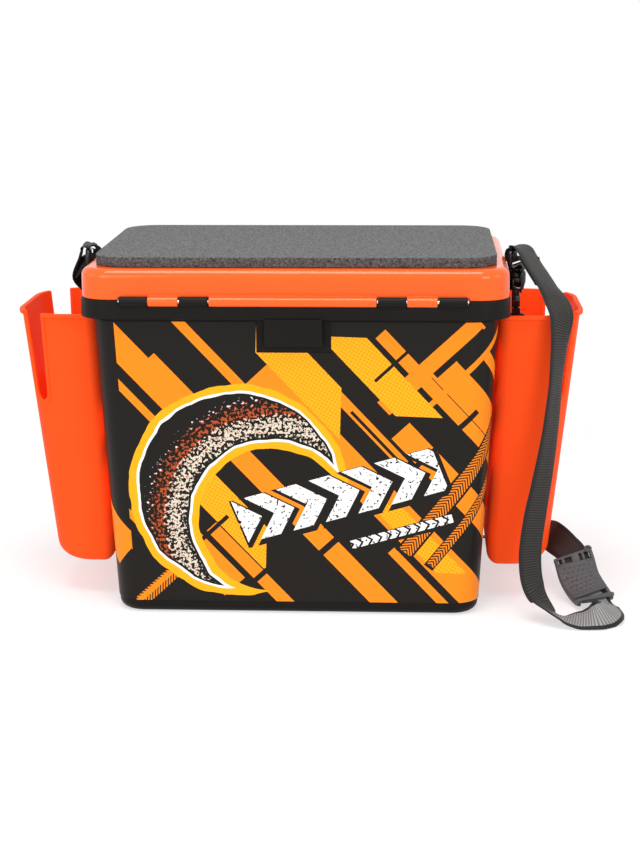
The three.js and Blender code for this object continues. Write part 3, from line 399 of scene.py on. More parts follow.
def bump(tree, height, strength, depth):
    """The normal of a height whose full rise is a depth in millimetres."""
    inputs = {"Height": height, "Strength": strength, "Distance": depth * MM}
    return add_node(tree, "Bump", None, inputs).outputs[0]


def shader_group(name, inputs, outputs):
    """An empty node group, the sockets of its inputs and its output node. Its inputs are
    numbers with a default, or vectors where that is None, and its outputs are numbers."""
    group = bpy.data.node_groups.new(name, "ShaderNodeTree")
    for label, default in inputs.items():
        kind = "NodeSocketVector" if default is None else "NodeSocketFloat"
        socket = group.interface.new_socket(label, in_out="INPUT", socket_type=kind)
        if default is not None:
            socket.default_value = default
    for label in outputs:
        group.interface.new_socket(label, in_out="OUTPUT", socket_type="NodeSocketFloat")
    return group, group.nodes.new("NodeGroupInput").outputs, group.nodes.new("NodeGroupOutput")


# The weave. U runs across the webbing in metres, 0 in the middle, and V along it.
weave, weave_in, weave_out = shader_group(
    "ribbed weave",
    {
        "UV": None,
        "Rib pitch": RIB_PITCH * MM,
        "Half width": STRAP_WIDTH / 2 * MM,
        "Selvedge share": SELVEDGE_SHARE,
    },
    ("Height", "Rib", "Selvedge"),
)
weave_sum = partial(sums, weave)
weave_u, weave_v = add_node(weave, "SeparateXYZ", None, {0: weave_in["UV"]}).outputs[:2]


def thread_wave(place, turns):
    """A wave from 0 to 1, with its turns in each rib pitch."""
    angle = weave_sum("MULTIPLY", weave_sum("DIVIDE", place, weave_in["Rib pitch"]), turns)
    return weave_sum("MULTIPLY_ADD", weave_sum("SINE", angle), 0.5, 0.5)


rib = thread_wave(weave_v, 2 * math.pi)
threads = thread_wave(weave_u, 4 * math.pi)
across_share = weave_sum("DIVIDE", weave_sum("ABSOLUTE", weave_u), weave_in["Half width"])
selvedge = weave_sum("GREATER_THAN", across_share, weave_in["Selvedge share"])
rib_height = weave_sum("MULTIPLY_ADD", rib, 0.65, weave_sum("MULTIPLY", threads, 0.35))
selvedge_height = weave_sum("MULTIPLY", threads, 0.3)
height_mix = {0: selvedge, 2: rib_height, 3: selvedge_height}
weave_height = add_node(weave, "Mix", {"data_type": "FLOAT"}, height_mix).outputs[0]
feed(weave_out, {"Height": weave_height, "Rib": rib, "Selvedge": selvedge})

# The webbing is black. A stretch of it, whose ends are in metres along it, has its ribs painted
# light grey as a painted sheen.
WEBBING_DARK = (0.006, 0.006, 0.005)
WEBBING_LIGHT = (0.041, 0.036, 0.031)
PAINTED_SHEEN_DARK = (0.13, 0.13, 0.128)
PAINTED_SHEEN_LIGHT = (0.33, 0.33, 0.325)
PAINTED_SHEEN_FROM = 0.392
PAINTED_SHEEN_TO = 0.505
PAINTED_SHEEN_FADE = 0.008
SELVEDGE_BLACK = (0.012, 0.012, 0.012)
webbing, webbing_tree, webbing_shader = principled(
    "ribbed webbing",
    WEBBING_LIGHT,
    0.62,
    {"Specular IOR Level": 0.2, "Sheen Weight": 0.08, "Sheen Roughness": 0.4},
)
webbing_mix = partial(colour_mix, webbing_tree)
webbing_uv = add_node(webbing_tree, "TexCoord").outputs["UV"]
woven = add_node(webbing_tree, "Group", {"node_tree": weave}, {"UV": webbing_uv}).outputs
webbing_run = add_node(webbing_tree, "SeparateXYZ", None, {0: webbing_uv}).outputs["Y"]
sheen_off = sums(webbing_tree, "SUBTRACT", webbing_run, (PAINTED_SHEEN_FROM + PAINTED_SHEEN_TO) / 2)
sheen_half = (PAINTED_SHEEN_TO - PAINTED_SHEEN_FROM) / 2
sheen_share = map_range(
    webbing_tree,
    sums(webbing_tree, "ABSOLUTE", sheen_off),
    sheen_half + PAINTED_SHEEN_FADE,
    sheen_half - PAINTED_SHEEN_FADE,
    kind="SMOOTHSTEP",
)
plain_colour = webbing_mix(woven["Rib"], WEBBING_DARK, WEBBING_LIGHT)
# Painted sheen: in that stretch the ribs take light greys that stand in for light glancing off
# them.
sheen_colour = webbing_mix(woven["Rib"], PAINTED_SHEEN_DARK, PAINTED_SHEEN_LIGHT)
middle_colour = webbing_mix(sheen_share, plain_colour, sheen_colour)
webbing_look = {
    "Base Color": webbing_mix(woven["Selvedge"], middle_colour, SELVEDGE_BLACK),
    "Normal": bump(webbing_tree, woven["Height"], 0.8, 0.35),
}
feed(webbing_shader, webbing_look)


def webbing_outline(width, thick):
    """The webbing's cut: flat faces that thin at the selvedges, with rounded edges."""
    shares = np.array([0.97, 0.80, 0.76, 0.4, 0.0, -0.4, -0.76, -0.80, -0.97])
    heights = np.array([0.66, 0.78, 1.0, 1.0, 1.0, 1.0, 1.0, 0.78, 0.66])
    top = np.stack([shares * width / 2, heights * thick / 2], 1)
    return np.vstack([[[width / 2, 0.0]], top, [[-width / 2, 0.0]], top[::-1] * [1, -1]])


def webbing_piece(name, frames):
    """A length of webbing along frames, with U across it and V along it."""
    outline = webbing_outline(STRAP_WIDTH, STRAP_THICK)
    uv = np.empty((len(frames[0]), len(outline), 2))
    uv[..., 0] = outline[None, :, 0]
    uv[..., 1] = run_along(frames[0])[:, None]
    piece = put_mesh(name, swept(frames, outline), webbing, 50, uv)
    return install(piece, "tub", "shoulder_strap")


strap_line = strap_frames(0, len(STRAP_ROUTE) - 1)
strap = webbing_piece("strap_webbing", strap_line)


# End loops. At each end the webbing goes over the eye's bar, back through the eye's slot and
# along under itself, where it is sewn.
LOOP_LAYER = 2.0
RIGHT_TAIL = slice(21, 34)
RIGHT_LOOP = [
    [201.4, 0.7, 327.4, 0.42, 0.91, 0],
    [198.8, 1.9, 326, 0.42, 0.91, 0],
    [197.5, 2.5, 322.5, 0.42, 0.91, 0],
    [197.4, 2.6, 319.5, 0.42, 0.91, 0],
    [198.2, 2.2, 316, 0.42, 0.91, 0],
    [200.5, 1.2, 313.9, 0.42, 0.91, 0],
    [203, 0, 314.2, 0.42, 0.91, 0],
    [206.8, -5.4, 316.4, 0.42, 0.91, 0],
    [210.6, -13.2, 317.4, 0.42, 0.91, -0.03],
]
LEFT_LOOP = [
    [-201.2, -0.6, 328.1, -0.25, 0.97, 0],
    [-196.8, -0.9, 327.4, -0.35, 0.94, 0],
    [-194.3, -1.1, 324.2, -0.46, 0.89, 0],
    [-195.2, -1.0, 319.7, -0.52, 0.85, 0],
    [-198.7, -0.6, 316, -0.52, 0.85, 0],
    [-203, 0, 314, -0.52, 0.85, 0],
    [-208.2, 0.9, 311.6, -0.42, 0.91, 0.03],
    [-212, 2.2, 307.2, -0.2, 0.97, 0.15],
    [-213.3, 4, 302.8, 0.1, 0.93, 0.3],
]
right_tail = [a[RIGHT_TAIL] for a in strap_line]
right_tail[0] = right_tail[0] + right_tail[2] * LOOP_LAYER
right_loop = tuple(np.vstack(pair) for pair in zip(band_frames(RIGHT_LOOP), right_tail))
strap_loops = [
    webbing_piece("strap_loop_right", right_loop),
    webbing_piece("strap_loop_left", band_frames(LEFT_LOOP)),
]


# Strap slider. A curved, dark grey moulded plate with a pebbled face between two side rails,
# with a bar across each end and a slot beside it for the webbing. It sets the strap's length.
# Places along it are shares of its length.
SLIDER_POINTS = (25, 27)
SLIDER_WIDTH = 38
SLIDER_PLATE = 1.8
SLIDER_CLEARANCE = 0.5
SLIDER_RAIL = 1.9
SLIDER_DOME = 1.2
RAIL_UP = 0.9
MOUTH_START, FACE_END, TAB_END = 0.17, 0.80, 0.97
BACK_PLATE = slice(2, 15)
TABS = ((10.5, 3.0), (-1.5, 7.0), (-9.0, 2.4))
TAB_DOME = 0.3
RING_RADIUS, RING_WIRE, RING_INSET = 2.6, 1.3, 3.4
DIMPLE_PITCH = 4.8
DIMPLE_RADIUS = 1.9
DIMPLE_SINK = 0.9
DIMPLED_HALF = 0.40
DIMPLED_END = 0.93
PLATE_STEPS, PLATE_COLUMNS = 90, 73


def noise(tree, place, scale, detail, more=None):
    """The value of a noise texture at a place."""
    inputs = {"Vector": place, "Scale": scale, "Detail": detail, **(more or {})}
    return add_node(tree, "TexNoise", None, inputs).outputs[0]


# Moulded plastic has a fine grain as bump, and a slow change of gloss and shade over it.
SMUDGE_FROM, SMUDGE_TO = 0.3, 0.7
GLOSS_SPREAD = 0.12
SMUDGE_SHADE = 0.88
GRAIN_STRENGTH = 0.5

grain, grain_in, grain_out = shader_group(
    "moulded grain", {"Scale": 900.0, "Smudge scale": 18.0}, ("Height", "Smudge")
)
grain_place = add_node(grain, "TexCoord").outputs["Object"]
grain_noises = {
    "Height": noise(grain, grain_place, grain_in["Scale"], 3.0),
    "Smudge": noise(grain, grain_place, grain_in["Smudge scale"], 5.0),
}
feed(grain_out, grain_noises)


def moulded_plastic(name, colour, roughness, grain_scale, grain_depth, mirror, more=None):
    """A moulded plastic whose grain has a depth in millimetres."""
    material, tree, shader = principled(name, colour, roughness, more)
    marks = add_node(tree, "Group", {"node_tree": grain}, {"Scale": grain_scale}).outputs
    gloss = (roughness - GLOSS_SPREAD / 2, roughness + GLOSS_SPREAD / 2)
    darker = tuple(SMUDGE_SHADE * c for c in colour)
    look = {
        "Base Color": colour_mix(tree, marks["Smudge"], darker, colour),
        "Roughness": map_range(tree, marks["Smudge"], SMUDGE_FROM, SMUDGE_TO, *gloss),
        "Specular IOR Level": mirror,
        "Normal": bump(tree, marks["Height"], GRAIN_STRENGTH, grain_depth),
    }
    feed(shader, look)
    return material


slider_grey = moulded_plastic("slider plastic", (0.075, 0.075, 0.078), 0.42, 700.0, 0.4, 0.3)
slider_middle, slider_across, slider_back = strap_frames(*SLIDER_POINTS)
slider_frames = (slider_middle, slider_across, -slider_back)


def together(*shapes):
    """Several shapes as one."""
    points = []
    faces = []
    start = 0
    for some_points, some_faces in shapes:
        points.append(np.asarray(some_points))
        faces += [[start + k for k in face] for face in some_faces]
        start += len(some_points)
    return np.vstack(points), faces


def circle(radius, sides=16):
    """Points round a circle."""
    angle = np.arange(sides) / sides * 2 * np.pi
    return np.stack([radius * np.cos(angle), radius * np.sin(angle)], 1)


def tube(path, radius, lean, sides=12, closed=False):
    """A round tube along a path. Lean is a way that the path never runs."""
    path = np.asarray(path, dtype=float)
    if closed:
        along = unit(np.roll(path, -1, axis=0) - np.roll(path, 1, axis=0))
    else:
        along = unit(np.gradient(path, axis=0))
    across = unit(np.cross(along, lean))
    return swept((path, across, np.cross(along, across)), circle(radius, sides), closed)


def finer_frames(frames, first_share, last_share, count):
    """The stretch of frames between two shares, laid anew in even steps."""
    last = len(frames[0]) - 1
    at = np.linspace(first_share * last, last_share * last, count)
    return tuple(
        np.stack([np.interp(at, np.arange(last + 1), a[:, k]) for k in range(3)], 1)
        for a in frames
    )


def crown(across, width, high, dome):
    """The height of a crowned plate, high + dome (1 - (2 across / width)^2)."""
    return high + dome * (1 - (2 * across / width) ** 2)


def domed_outline(width, low, high, dome, points=9, middle=0.0):
    """A plate's cut: flat below, and above it a crown that falls to both sides."""
    across = np.linspace(width / 2, -width / 2, points)
    upper = np.stack([across + middle, crown(across, width, high, dome)], 1)
    return np.vstack([upper, np.stack([across[::-1] + middle, np.full(points, low)], 1)])


def cross_bar(share, up, radius, half):
    """A round-ended rod that lies across the slider."""
    place, side, face = (a[0] for a in finer_frames(slider_frames, share, share, 1))
    middle = place + face * up
    quarter = np.linspace(-np.pi / 2, np.pi / 2, 9)[4:]
    ends = [middle + side * (half - radius + radius * math.sin(t)) for t in quarter]
    ends = [middle - (point - middle) for point in ends[::-1]] + ends
    radii = radius * np.maximum(np.cos(np.concatenate([quarter[::-1], quarter])), 0.12)
    along = np.broadcast_to(np.cross(side, face), (len(ends), 3))
    outlines = np.stack([circle(r, 14) for r in radii])
    return swept((np.array(ends), along, np.broadcast_to(face, (len(ends), 3))), outlines)


def dimpled_plate(width, low, high, dome):
    """A crowned plate with rows of round dimples. A dimple of radius r and depth d sinks the
    face by d (1 - (x / r)^2)^2 at a distance x from its middle, and every second row is set
    half a pitch along."""
    frames = finer_frames(slider_frames, MOUTH_START, FACE_END, PLATE_STEPS)
    run = run_along(frames[0])[:, None]
    side = np.linspace(width / 2, -width / 2, PLATE_COLUMNS)[None, :]
    row = np.round(run / DIMPLE_PITCH)
    off_along = run - row * DIMPLE_PITCH
    off_across = side - (row % 2) * DIMPLE_PITCH / 2
    off_across = off_across - np.round(off_across / DIMPLE_PITCH) * DIMPLE_PITCH
    reach = np.hypot(off_along, off_across) / DIMPLE_RADIUS
    inside = (np.abs(side) < DIMPLED_HALF * width) & (row > 0) & (run < DIMPLED_END * run[-1])
    sink = DIMPLE_SINK * np.clip(1 - reach**2, 0, 1) ** 2 * inside
    top = crown(side, width, high, dome) - sink
    upper = np.stack([np.broadcast_to(side, top.shape), top], -1)
    under = np.stack([np.broadcast_to(side[:, ::-1], top.shape), np.full(top.shape, low)], -1)
    return swept(frames, np.concatenate([upper, under], axis=1))


def slider_rail(side, up):
    """A round rail along one side of the slider."""
    middle, across, face = slider_frames
    path = middle + across * side * (SLIDER_WIDTH / 2 - SLIDER_RAIL) + face * up
    return tube(path, SLIDER_RAIL, (0.2, 1.0, 0.3), 14)


def slider_ring(up):
    """The small round eye at one corner of the slider."""
    place, side, face = (a[0] for a in finer_frames(slider_frames, TAB_END, TAB_END, 1))
    along = np.cross(face, side)
    middle = place - side * (SLIDER_WIDTH / 2 - RING_INSET) + face * up
    path = [middle + x * side + y * along for x, y in circle(RING_RADIUS, 24)]
    return tube(path, RING_WIRE, face, 12, True)


plate_low = STRAP_THICK / 2 + SLIDER_CLEARANCE
plate_high = plate_low + SLIDER_PLATE
face_width = SLIDER_WIDTH - 2 * SLIDER_RAIL
back_frames = [a[BACK_PLATE] for a in slider_frames]
tab_frames = finer_frames(slider_frames, FACE_END - 0.02, TAB_END, 5)
# Each cross bar has its place along, height over the face, radius and half length.
cross_bars = (
    (0.965, -0.9, 1.5, SLIDER_WIDTH / 2),
    (FACE_END, 0.1, 1.1, face_width / 2),
    (MOUTH_START, 0.2, 1.4, face_width / 2),
    (0.02, -0.3, 2.3, SLIDER_WIDTH / 2 + 1),
)
slider_parts = [
    dimpled_plate(face_width, plate_low, plate_high, SLIDER_DOME),
    swept(back_frames, domed_outline(face_width, -plate_high, -plate_low, 0.0)),
    *(cross_bar(share, plate_high + up, *sizes) for share, up, *sizes in cross_bars),
    slider_ring(plate_high),
]
for tab_at, tab_width in TABS:
    tab = domed_outline(tab_width, plate_low, plate_high, TAB_DOME, 5, tab_at)
    slider_parts.append(swept(tab_frames, tab))
for side in (-1, 1):
    slider_parts += [slider_rail(side, -RAIL_UP), slider_rail(side, RAIL_UP)]
strap_slider = put_mesh("strap_slider_piece", together(*slider_parts), slider_grey)
install(strap_slider, "tub", "strap_slider")


# Tub. One black polypropylene moulding: a tapered bucket with a turned-down band round its
# rim, two pairs of hinge knuckles, a plain boss in the middle of each long side and a lug on
# each short side for a hook.
RIM_X, RIM_Y, RIM_RADIUS = 193, 129.8, 28
BODY_X, BODY_Y, BODY_RADIUS = 182.1, 121.8, 26
BASE_X, BASE_Y, BASE_RADIUS = 167.7, 111.05, 24
BASE_FILLET = 8
BAND_TOP, BAND_BOTTOM = 295.9, 278.8
BAND_UPPER_EDGE = ((-1.3, 0), (-0.4, 0.4), (0, 1.3))
BAND_LOWER_EDGE = ((0, 0.9), (0.25, 0.3), (0.9, 0))
MOUTH_EDGE = 0.6
WALL = 2.6
FLOOR_THICK = 3
FLOOR_FILLET = 6
AXIS_Y, AXIS_Z = -132, 295.5
KNUCKLE_RADIUS, KNUCKLE_EDGE, KNUCKLE_SIDES = 4.4, 0.5, 32
KNUCKLE_LENGTH = 25.2
KNUCKLE_STEP = 26.9
WEB_REACH = 6
LID_WEB_START = 0.7
LID_KNUCKLE_MORE = (1.2, 0.3)
SCOOP_RADIUS, SCOOP_EDGE, SCOOP_SIDES = 4.9, 0.1, 40
SCOOP_PLAY = 1.7
HINGE_CENTRE, HINGE_HALF = 114.6, 39.5
RAIL_BOTTOM = 284
BOSS_HALF = 26
BOSS_DEPTH = 9
BOSS_BOTTOM = 254.8
BOSS_EDGE = 1.1
LUG_START, LUG_END = 179.5, 214
LUG_HALF_HIGH, LUG_MIDDLE = 12.75, 251.75
LUG_HALF_THICK, LUG_EDGE = 3.5, 0.8
LUG_CORNERS = (1, 8.5)
LUG_HOLE_X, LUG_HOLE_Z, LUG_HOLE_RADIUS, LUG_HOLE_REACH = 203, 252.5, 7.5, 9

black_plastic = moulded_plastic(
    "black polypropylene", (0.0085, 0.0072, 0.0062), 0.40, 1300.0, 0.12, 0.10
)


def turned(profile, centre=(0.0, 0.0, 0.0), axis="z", sides=32):
    """A shape turned about an axis through a centre, from a profile of (radius, height)."""
    ring = circle(1.0, sides)
    rings = []
    for radius, height in profile:
        row = np.stack([ring[:, 0] * radius, ring[:, 1] * radius, np.full(sides, height)], 1)
        rings.append(np.roll(row, 1, axis=1) if axis == "x" else row)
    points, faces = skin(rings)
    return points + centre, faces


def rod(x0, x1, y, z, radius, edge=0.3, sides=24):
    """A rod along X, with chamfered ends."""
    profile = [(radius - edge, x0), (radius, x0 + edge), (radius, x1 - edge), (radius - edge, x1)]
    return turned(profile, (0.0, y, z), "x", sides)


def corner_ring(x0, x1, half_y, z, radius0, radius1, steps):
    """A rectangle with rounded corners at height z, anticlockwise from above, with one radius
    at the end x0 and another at the end x1."""
    rows = []
    share = np.arange(steps + 1) / steps
    for x, sign_x, sign_y, radius, quarter in (
        (x1, 1, 1, radius1, 0),
        (x0, -1, 1, radius0, 1),
        (x0, -1, -1, radius0, 2),
        (x1, 1, -1, radius1, 3),
    ):
        angle = (quarter + share) * np.pi / 2
        row_x = x - sign_x * radius + radius * np.cos(angle)
        row_y = sign_y * (half_y - radius) + radius * np.sin(angle)
        rows.append(np.stack([row_x, row_y, np.full(steps + 1, z)], 1))
    return np.vstack(rows)


def even_ring(half_x, half_y, radius, z, steps=10):
    """A centred rectangle with four like corners at height z."""
    return corner_ring(-half_x, half_x, half_y, z, radius, radius, steps)


def soft_block(x0, x1, y0, y1, z0, z1, edge):
    """A block with rounded edges."""
    low, high = np.array([x0, y0, z0]), np.array([x1, y1, z1])
    half = (high - low) / 2
    rings = []
    for sign, drops in ((-1, (0.0, 0.3, 1.0)), (1, (1.0, 0.3, 0.0))):
        for drop in drops:
            inset = {0.0: edge, 0.3: 0.3 * edge, 1.0: 0.0}[drop]
            corner = max(edge - inset, 0.05 * edge)
            height = sign * (half[2] - drop * edge)
            rings.append(even_ring(half[0] - inset, half[1] - inset, corner, height, 3))
    points, faces = skin(rings)
    return points + (low + high) / 2, faces


def carve(obj, shape, operation="DIFFERENCE"):
    """Cut a shape out of an object, or add it to the object, for good."""
    tool = put_mesh("tool", shape, None)
    change = obj.modifiers.new("change", "BOOLEAN")
    change.object = tool
    change.operation = operation
    change.solver = "EXACT"
    change.use_self = True
    graph = bpy.context.evaluated_depsgraph_get()
    made = bpy.data.meshes.new_from_object(obj.evaluated_get(graph))
    obj.modifiers.clear()
    obj.data = made
    bpy.data.objects.remove(tool)


def taken_back(obj):
    """The shape of a mesh object, which is removed."""
    points = np.array([v.co[:] for v in obj.data.vertices]) / MM
    faces = [list(p.vertices) for p in obj.data.polygons]
    bpy.data.objects.remove(obj)
    return points, faces


def tub_ring(z, inset):
    """The tub's outside at a height, moved in by an inset."""
    share = (z - BASE_FILLET) / (BAND_BOTTOM - BASE_FILLET)
    x = BASE_X + (BODY_X - BASE_X) * share
    y = BASE_Y + (BODY_Y - BASE_Y) * share
    radius = BASE_RADIUS + (BODY_RADIUS - BASE_RADIUS) * share
    return even_ring(x - inset, y - inset, max(radius - inset, WALL), z)


def rim_ring(z, inset):
    """The rim's outside at a height, moved in by an inset."""
    return even_ring(RIM_X - inset, RIM_Y - inset, RIM_RADIUS - inset, z)


def fillet(steps):
    """Shares (of the inset, of the height) down a quarter round from flat to upright."""
    angle = np.arange(steps + 1) / steps * np.pi / 2
    return np.stack([1 - np.sin(angle), 1 - np.cos(angle)], 1)


def scoop(x0, x1):
    """The round room that knuckles turn in."""
    return rod(x0, x1, AXIS_Y, AXIS_Z, SCOOP_RADIUS, SCOOP_EDGE, SCOOP_SIDES)


def knuckle_middle(side, place):
    """Where a hinge knuckle is along the hinge side. Places -1 and 1 are the tub's."""
    return side * HINGE_CENTRE + place * KNUCKLE_STEP


def barrel(x0, x1, web_bottom, web_top):
    """A round bar on the hinge's axis, with the web that ties it to its part."""
    web = (AXIS_Y, AXIS_Y + WEB_REACH, web_bottom, web_top, 0.4)
    bar_shape = rod(x0, x1, AXIS_Y, AXIS_Z, KNUCKLE_RADIUS, KNUCKLE_EDGE, KNUCKLE_SIDES)
    return [bar_shape, soft_block(x0, x1, *web)]


def knuckle(side, place):
    """One hinge knuckle. Place 0 is the lid's, which is a little longer and lies closer to
    its left neighbour."""
    middle = knuckle_middle(side, place)
    x0, x1 = middle - KNUCKLE_LENGTH / 2, middle + KNUCKLE_LENGTH / 2
    if place:
        return barrel(x0, x1, AXIS_Z - WEB_REACH, AXIS_Z)
    x0, x1 = x0 - LID_KNUCKLE_MORE[0], x1 + LID_KNUCKLE_MORE[1]
    return barrel(x0, x1, AXIS_Z + LID_WEB_START, AXIS_Z + WEB_REACH)


def lug(side):
    """The ear that a hook hangs in: a flat plate with a round hole."""
    rows = []
    for y, inset in (
        (-LUG_HALF_THICK, LUG_EDGE),
        (-LUG_HALF_THICK + LUG_EDGE, 0.0),
        (LUG_HALF_THICK - LUG_EDGE, 0.0),
        (LUG_HALF_THICK, LUG_EDGE),
    ):
        sizes = (LUG_START + inset, LUG_END - inset, LUG_HALF_HIGH - inset)
        x, up, _ = corner_ring(*sizes, 0.0, *LUG_CORNERS, 8).T
        rows.append(np.stack([x * side, np.full(len(x), y), up + LUG_MIDDLE], 1))
    plate = put_mesh("lug", skin(rows), black_plastic)
    ends = [(LUG_HOLE_RADIUS, -LUG_HOLE_REACH), (LUG_HOLE_RADIUS, LUG_HOLE_REACH)]
    points, faces = turned(ends, sides=40)
    carve(plate, (points[:, [0, 2, 1]] + (side * LUG_HOLE_X, 0.0, LUG_HOLE_Z), faces))
    return taken_back(plate)


tub_rings = [tub_ring(BASE_FILLET * h, BASE_FILLET * i) for i, h in fillet(6)]
tub_rings += [
    tub_ring(BAND_TOP - WALL, 0),
    rim_ring(BAND_TOP - WALL, WALL),
    rim_ring(BAND_BOTTOM, WALL),
    *(rim_ring(BAND_BOTTOM + up, inset) for up, inset in BAND_LOWER_EDGE),
    *(rim_ring(BAND_TOP + up, inset) for up, inset in BAND_UPPER_EDGE),
    tub_ring(BAND_TOP, WALL + MOUTH_EDGE),
    tub_ring(BAND_TOP - MOUTH_EDGE, WALL),
]
tub_rings += [
    tub_ring(FLOOR_THICK + FLOOR_FILLET * h, WALL + FLOOR_FILLET * i)
    for i, h in fillet(5)[::-1]
]
tub = put_mesh("tub", skin(tub_rings), black_plastic)
hinge_end = HINGE_CENTRE + HINGE_HALF
rail_sides = (-hinge_end - WALL, hinge_end + WALL, -RIM_Y + WALL / 2, -BODY_Y + WALL / 2)
carve(tub, soft_block(*rail_sides, RAIL_BOTTOM, BAND_TOP - WALL / 2, 0.2), "UNION")
carve(tub, scoop(-hinge_end - SCOOP_PLAY, hinge_end + SCOOP_PLAY))
tub_parts = [taken_back(tub)]
for side in (-1, 1):
    boss_y = sorted((side * (RIM_Y - BOSS_DEPTH), side * RIM_Y))
    boss = (-BOSS_HALF, BOSS_HALF, *boss_y, BOSS_BOTTOM, BAND_BOTTOM + WALL, BOSS_EDGE)
    tub_parts += [*knuckle(side, -1), *knuckle(side, 1), soft_block(*boss), lug(side)]
tub = put_mesh("tub", together(*tub_parts), black_plastic)
install(tub, "tub", "tub_body", True)


# Printed films. Two thin printed sheets, each wrapped round one long wall, one corner and one
# short wall of the tub. The print is slanted bars, dots, hatching, a speckled crescent and
# worn arrowheads. It is laid in layers, each a mask and its colour.
FILM_GAP = 0.3
FILM_THICK = 0.4
FILM_BOTTOM, FILM_TOP = 12, 276
FILM_START_SHARE = 0.886
BOSS_NOTCH = (-33.5, 33.5, -RIM_Y, 0, 248, 290, 0.5)
LUG_NOTCH = (-6, 6, 236.5, 290, 0.5)
SCREWS = {"front": (-48, 232), "rear": (48, 232), "lower": (0, 80)}
SCREW_NOTCH = 7.5
CUT_FROM, CUT_TO = 150, 214
PRINT_BLACK = (0.0110, 0.0092, 0.0076)
PRINT_ORANGE = (0.93, 0.245, 0.010)
PRINT_YELLOW = (0.95, 0.405, 0.008)
PRINT_RUST = (0.42, 0.075, 0.018)
PRINT_CREAM = (0.72, 0.62, 0.50)
PRINT_WHITE = (0.86, 0.86, 0.85)


def turned_xy(tree, vector, angle):
    """The X and the Y of a vector turned about Z."""
    inputs = {"Vector": vector, "Angle": angle}
    turn = add_node(tree, "VectorRotate", {"rotation_type": "Z_AXIS"}, inputs)
    return add_node(tree, "SeparateXYZ", None, {0: turn.outputs[0]}).outputs[:2]


bar_group, bar_in, bar_out = shader_group(
    "slanted bar",
    {
        "UV": None,
        "Middle": None,
        "Angle": 0.0,
        "Half length": 0.05,
        "Half width": 0.01,
        "End slant": 0.0,
    },
    ("Mask", "Along", "Across"),
)
bar_sum = partial(sums, bar_group)
from_middle = {0: bar_in["UV"], 1: bar_in["Middle"]}
bar_off = add_node(bar_group, "VectorMath", {"operation": "SUBTRACT"}, from_middle).outputs[0]
bar_x, bar_y = turned_xy(bar_group, bar_off, bar_sum("MULTIPLY", bar_in["Angle"], -1.0))
bar_x = bar_sum("MULTIPLY_ADD", bar_y, bar_in["End slant"], bar_x)
in_length = bar_sum("LESS_THAN", bar_sum("ABSOLUTE", bar_x), bar_in["Half length"])
in_width = bar_sum("LESS_THAN", bar_sum("ABSOLUTE", bar_y), bar_in["Half width"])
bar_mask = bar_sum("MULTIPLY", in_length, in_width)
feed(bar_out, {"Mask": bar_mask, "Along": bar_x, "Across": bar_y})

print_film, film_tree, film_shader = principled(
    "printed film", PRINT_BLACK, 0.36, {"Specular IOR Level": 0.12}
)
film_uv = add_node(film_tree, "TexCoord").outputs["UV"]
film_sum = partial(sums, film_tree)


def bar(u, v, angle, length, width, slant=0.0):
    """One bar on the film: its middle in millimetres, angle in degrees, length and width."""
    inputs = {
        "UV": film_uv,
        "Middle": (u * MM, v * MM, 0.0),
        "Angle": math.radians(angle),
        "Half length": length / 2 * MM,
        "Half width": width / 2 * MM,
        "End slant": slant,
    }
    return add_node(film_tree, "Group", {"node_tree": bar_group}, inputs).outputs


def all_of(masks):
    """One mask that holds every mask of a list."""
    whole = masks[0]
    for mask in masks[1:]:
        whole = film_sum("MAXIMUM", whole, mask)
    return whole


def bars(rows):
    """The mask of several bars."""
    return all_of([bar(*row)["Mask"] for row in rows])


def chevrons(strip, pitch, share, lead=0.0):
    """The mask of a bar cut into arrowheads that point along it."""
    ahead = film_sum("ADD", strip["Along"], film_sum("ABSOLUTE", strip["Across"]))
    cell = film_sum("DIVIDE", film_sum("ADD", ahead, lead * MM), pitch * MM)
    tooth = film_sum("LESS_THAN", film_sum("FRACT", cell), share)
    return film_sum("MULTIPLY", strip["Mask"], tooth)


FALL = -47.0
RISE = 43.0
STEEP = 52.0
ORANGE_BARS = [
    (-128, 222, FALL, 150, 24),
    (-112, 168, FALL, 190, 7),
    (-66, 236, FALL, 130, 9),
    (-20, 120, FALL, 330, 19),
    (34, 214, FALL, 190, 10),
    (70, 120, FALL, 300, 30),
    (142, 196, FALL, 190, 12),
    (150, 118, FALL, 160, 22),
    (-98, 70, FALL, 120, 26),
    (-132, 74, FALL, 120, 6),
    (-40, 44, FALL, 110, 12),
    (118, 30, FALL, 90, 8),
    (212, 150, FALL, 260, 26),
    (262, 150, FALL, 260, 10),
    (300, 150, FALL, 260, 30),
    (352, 120, FALL, 260, 14),
    (122, 236, RISE, 120, 16),
    (156, 232, RISE, 110, 5),
    (-120, 36, RISE, 90, 5),
]
YELLOW_BARS = [
    (4, 232, FALL, 110, 34, 1.0),
    (78, 226, FALL, 100, 30, -1.0),
    (-58, 96, FALL, 90, 30, 1.0),
    (112, 74, FALL, 90, 20, -1.0),
    (330, 200, FALL, 120, 26, 1.0),
]
BLACK_BARS = [
    (50, 226, FALL, 130, 4),
    (92, 150, FALL, 120, 3),
    (-30, 40, RISE, 80, 5),
    (34, 70, RISE, 130, 6),
    (132, 164, RISE, 90, 5),
    (-84, 74, RISE, 60, 4),
    (148, 248, RISE, 60, 6),
    (98, 246, RISE, 70, 3),
]
layers = [(bars(ORANGE_BARS), PRINT_ORANGE)]

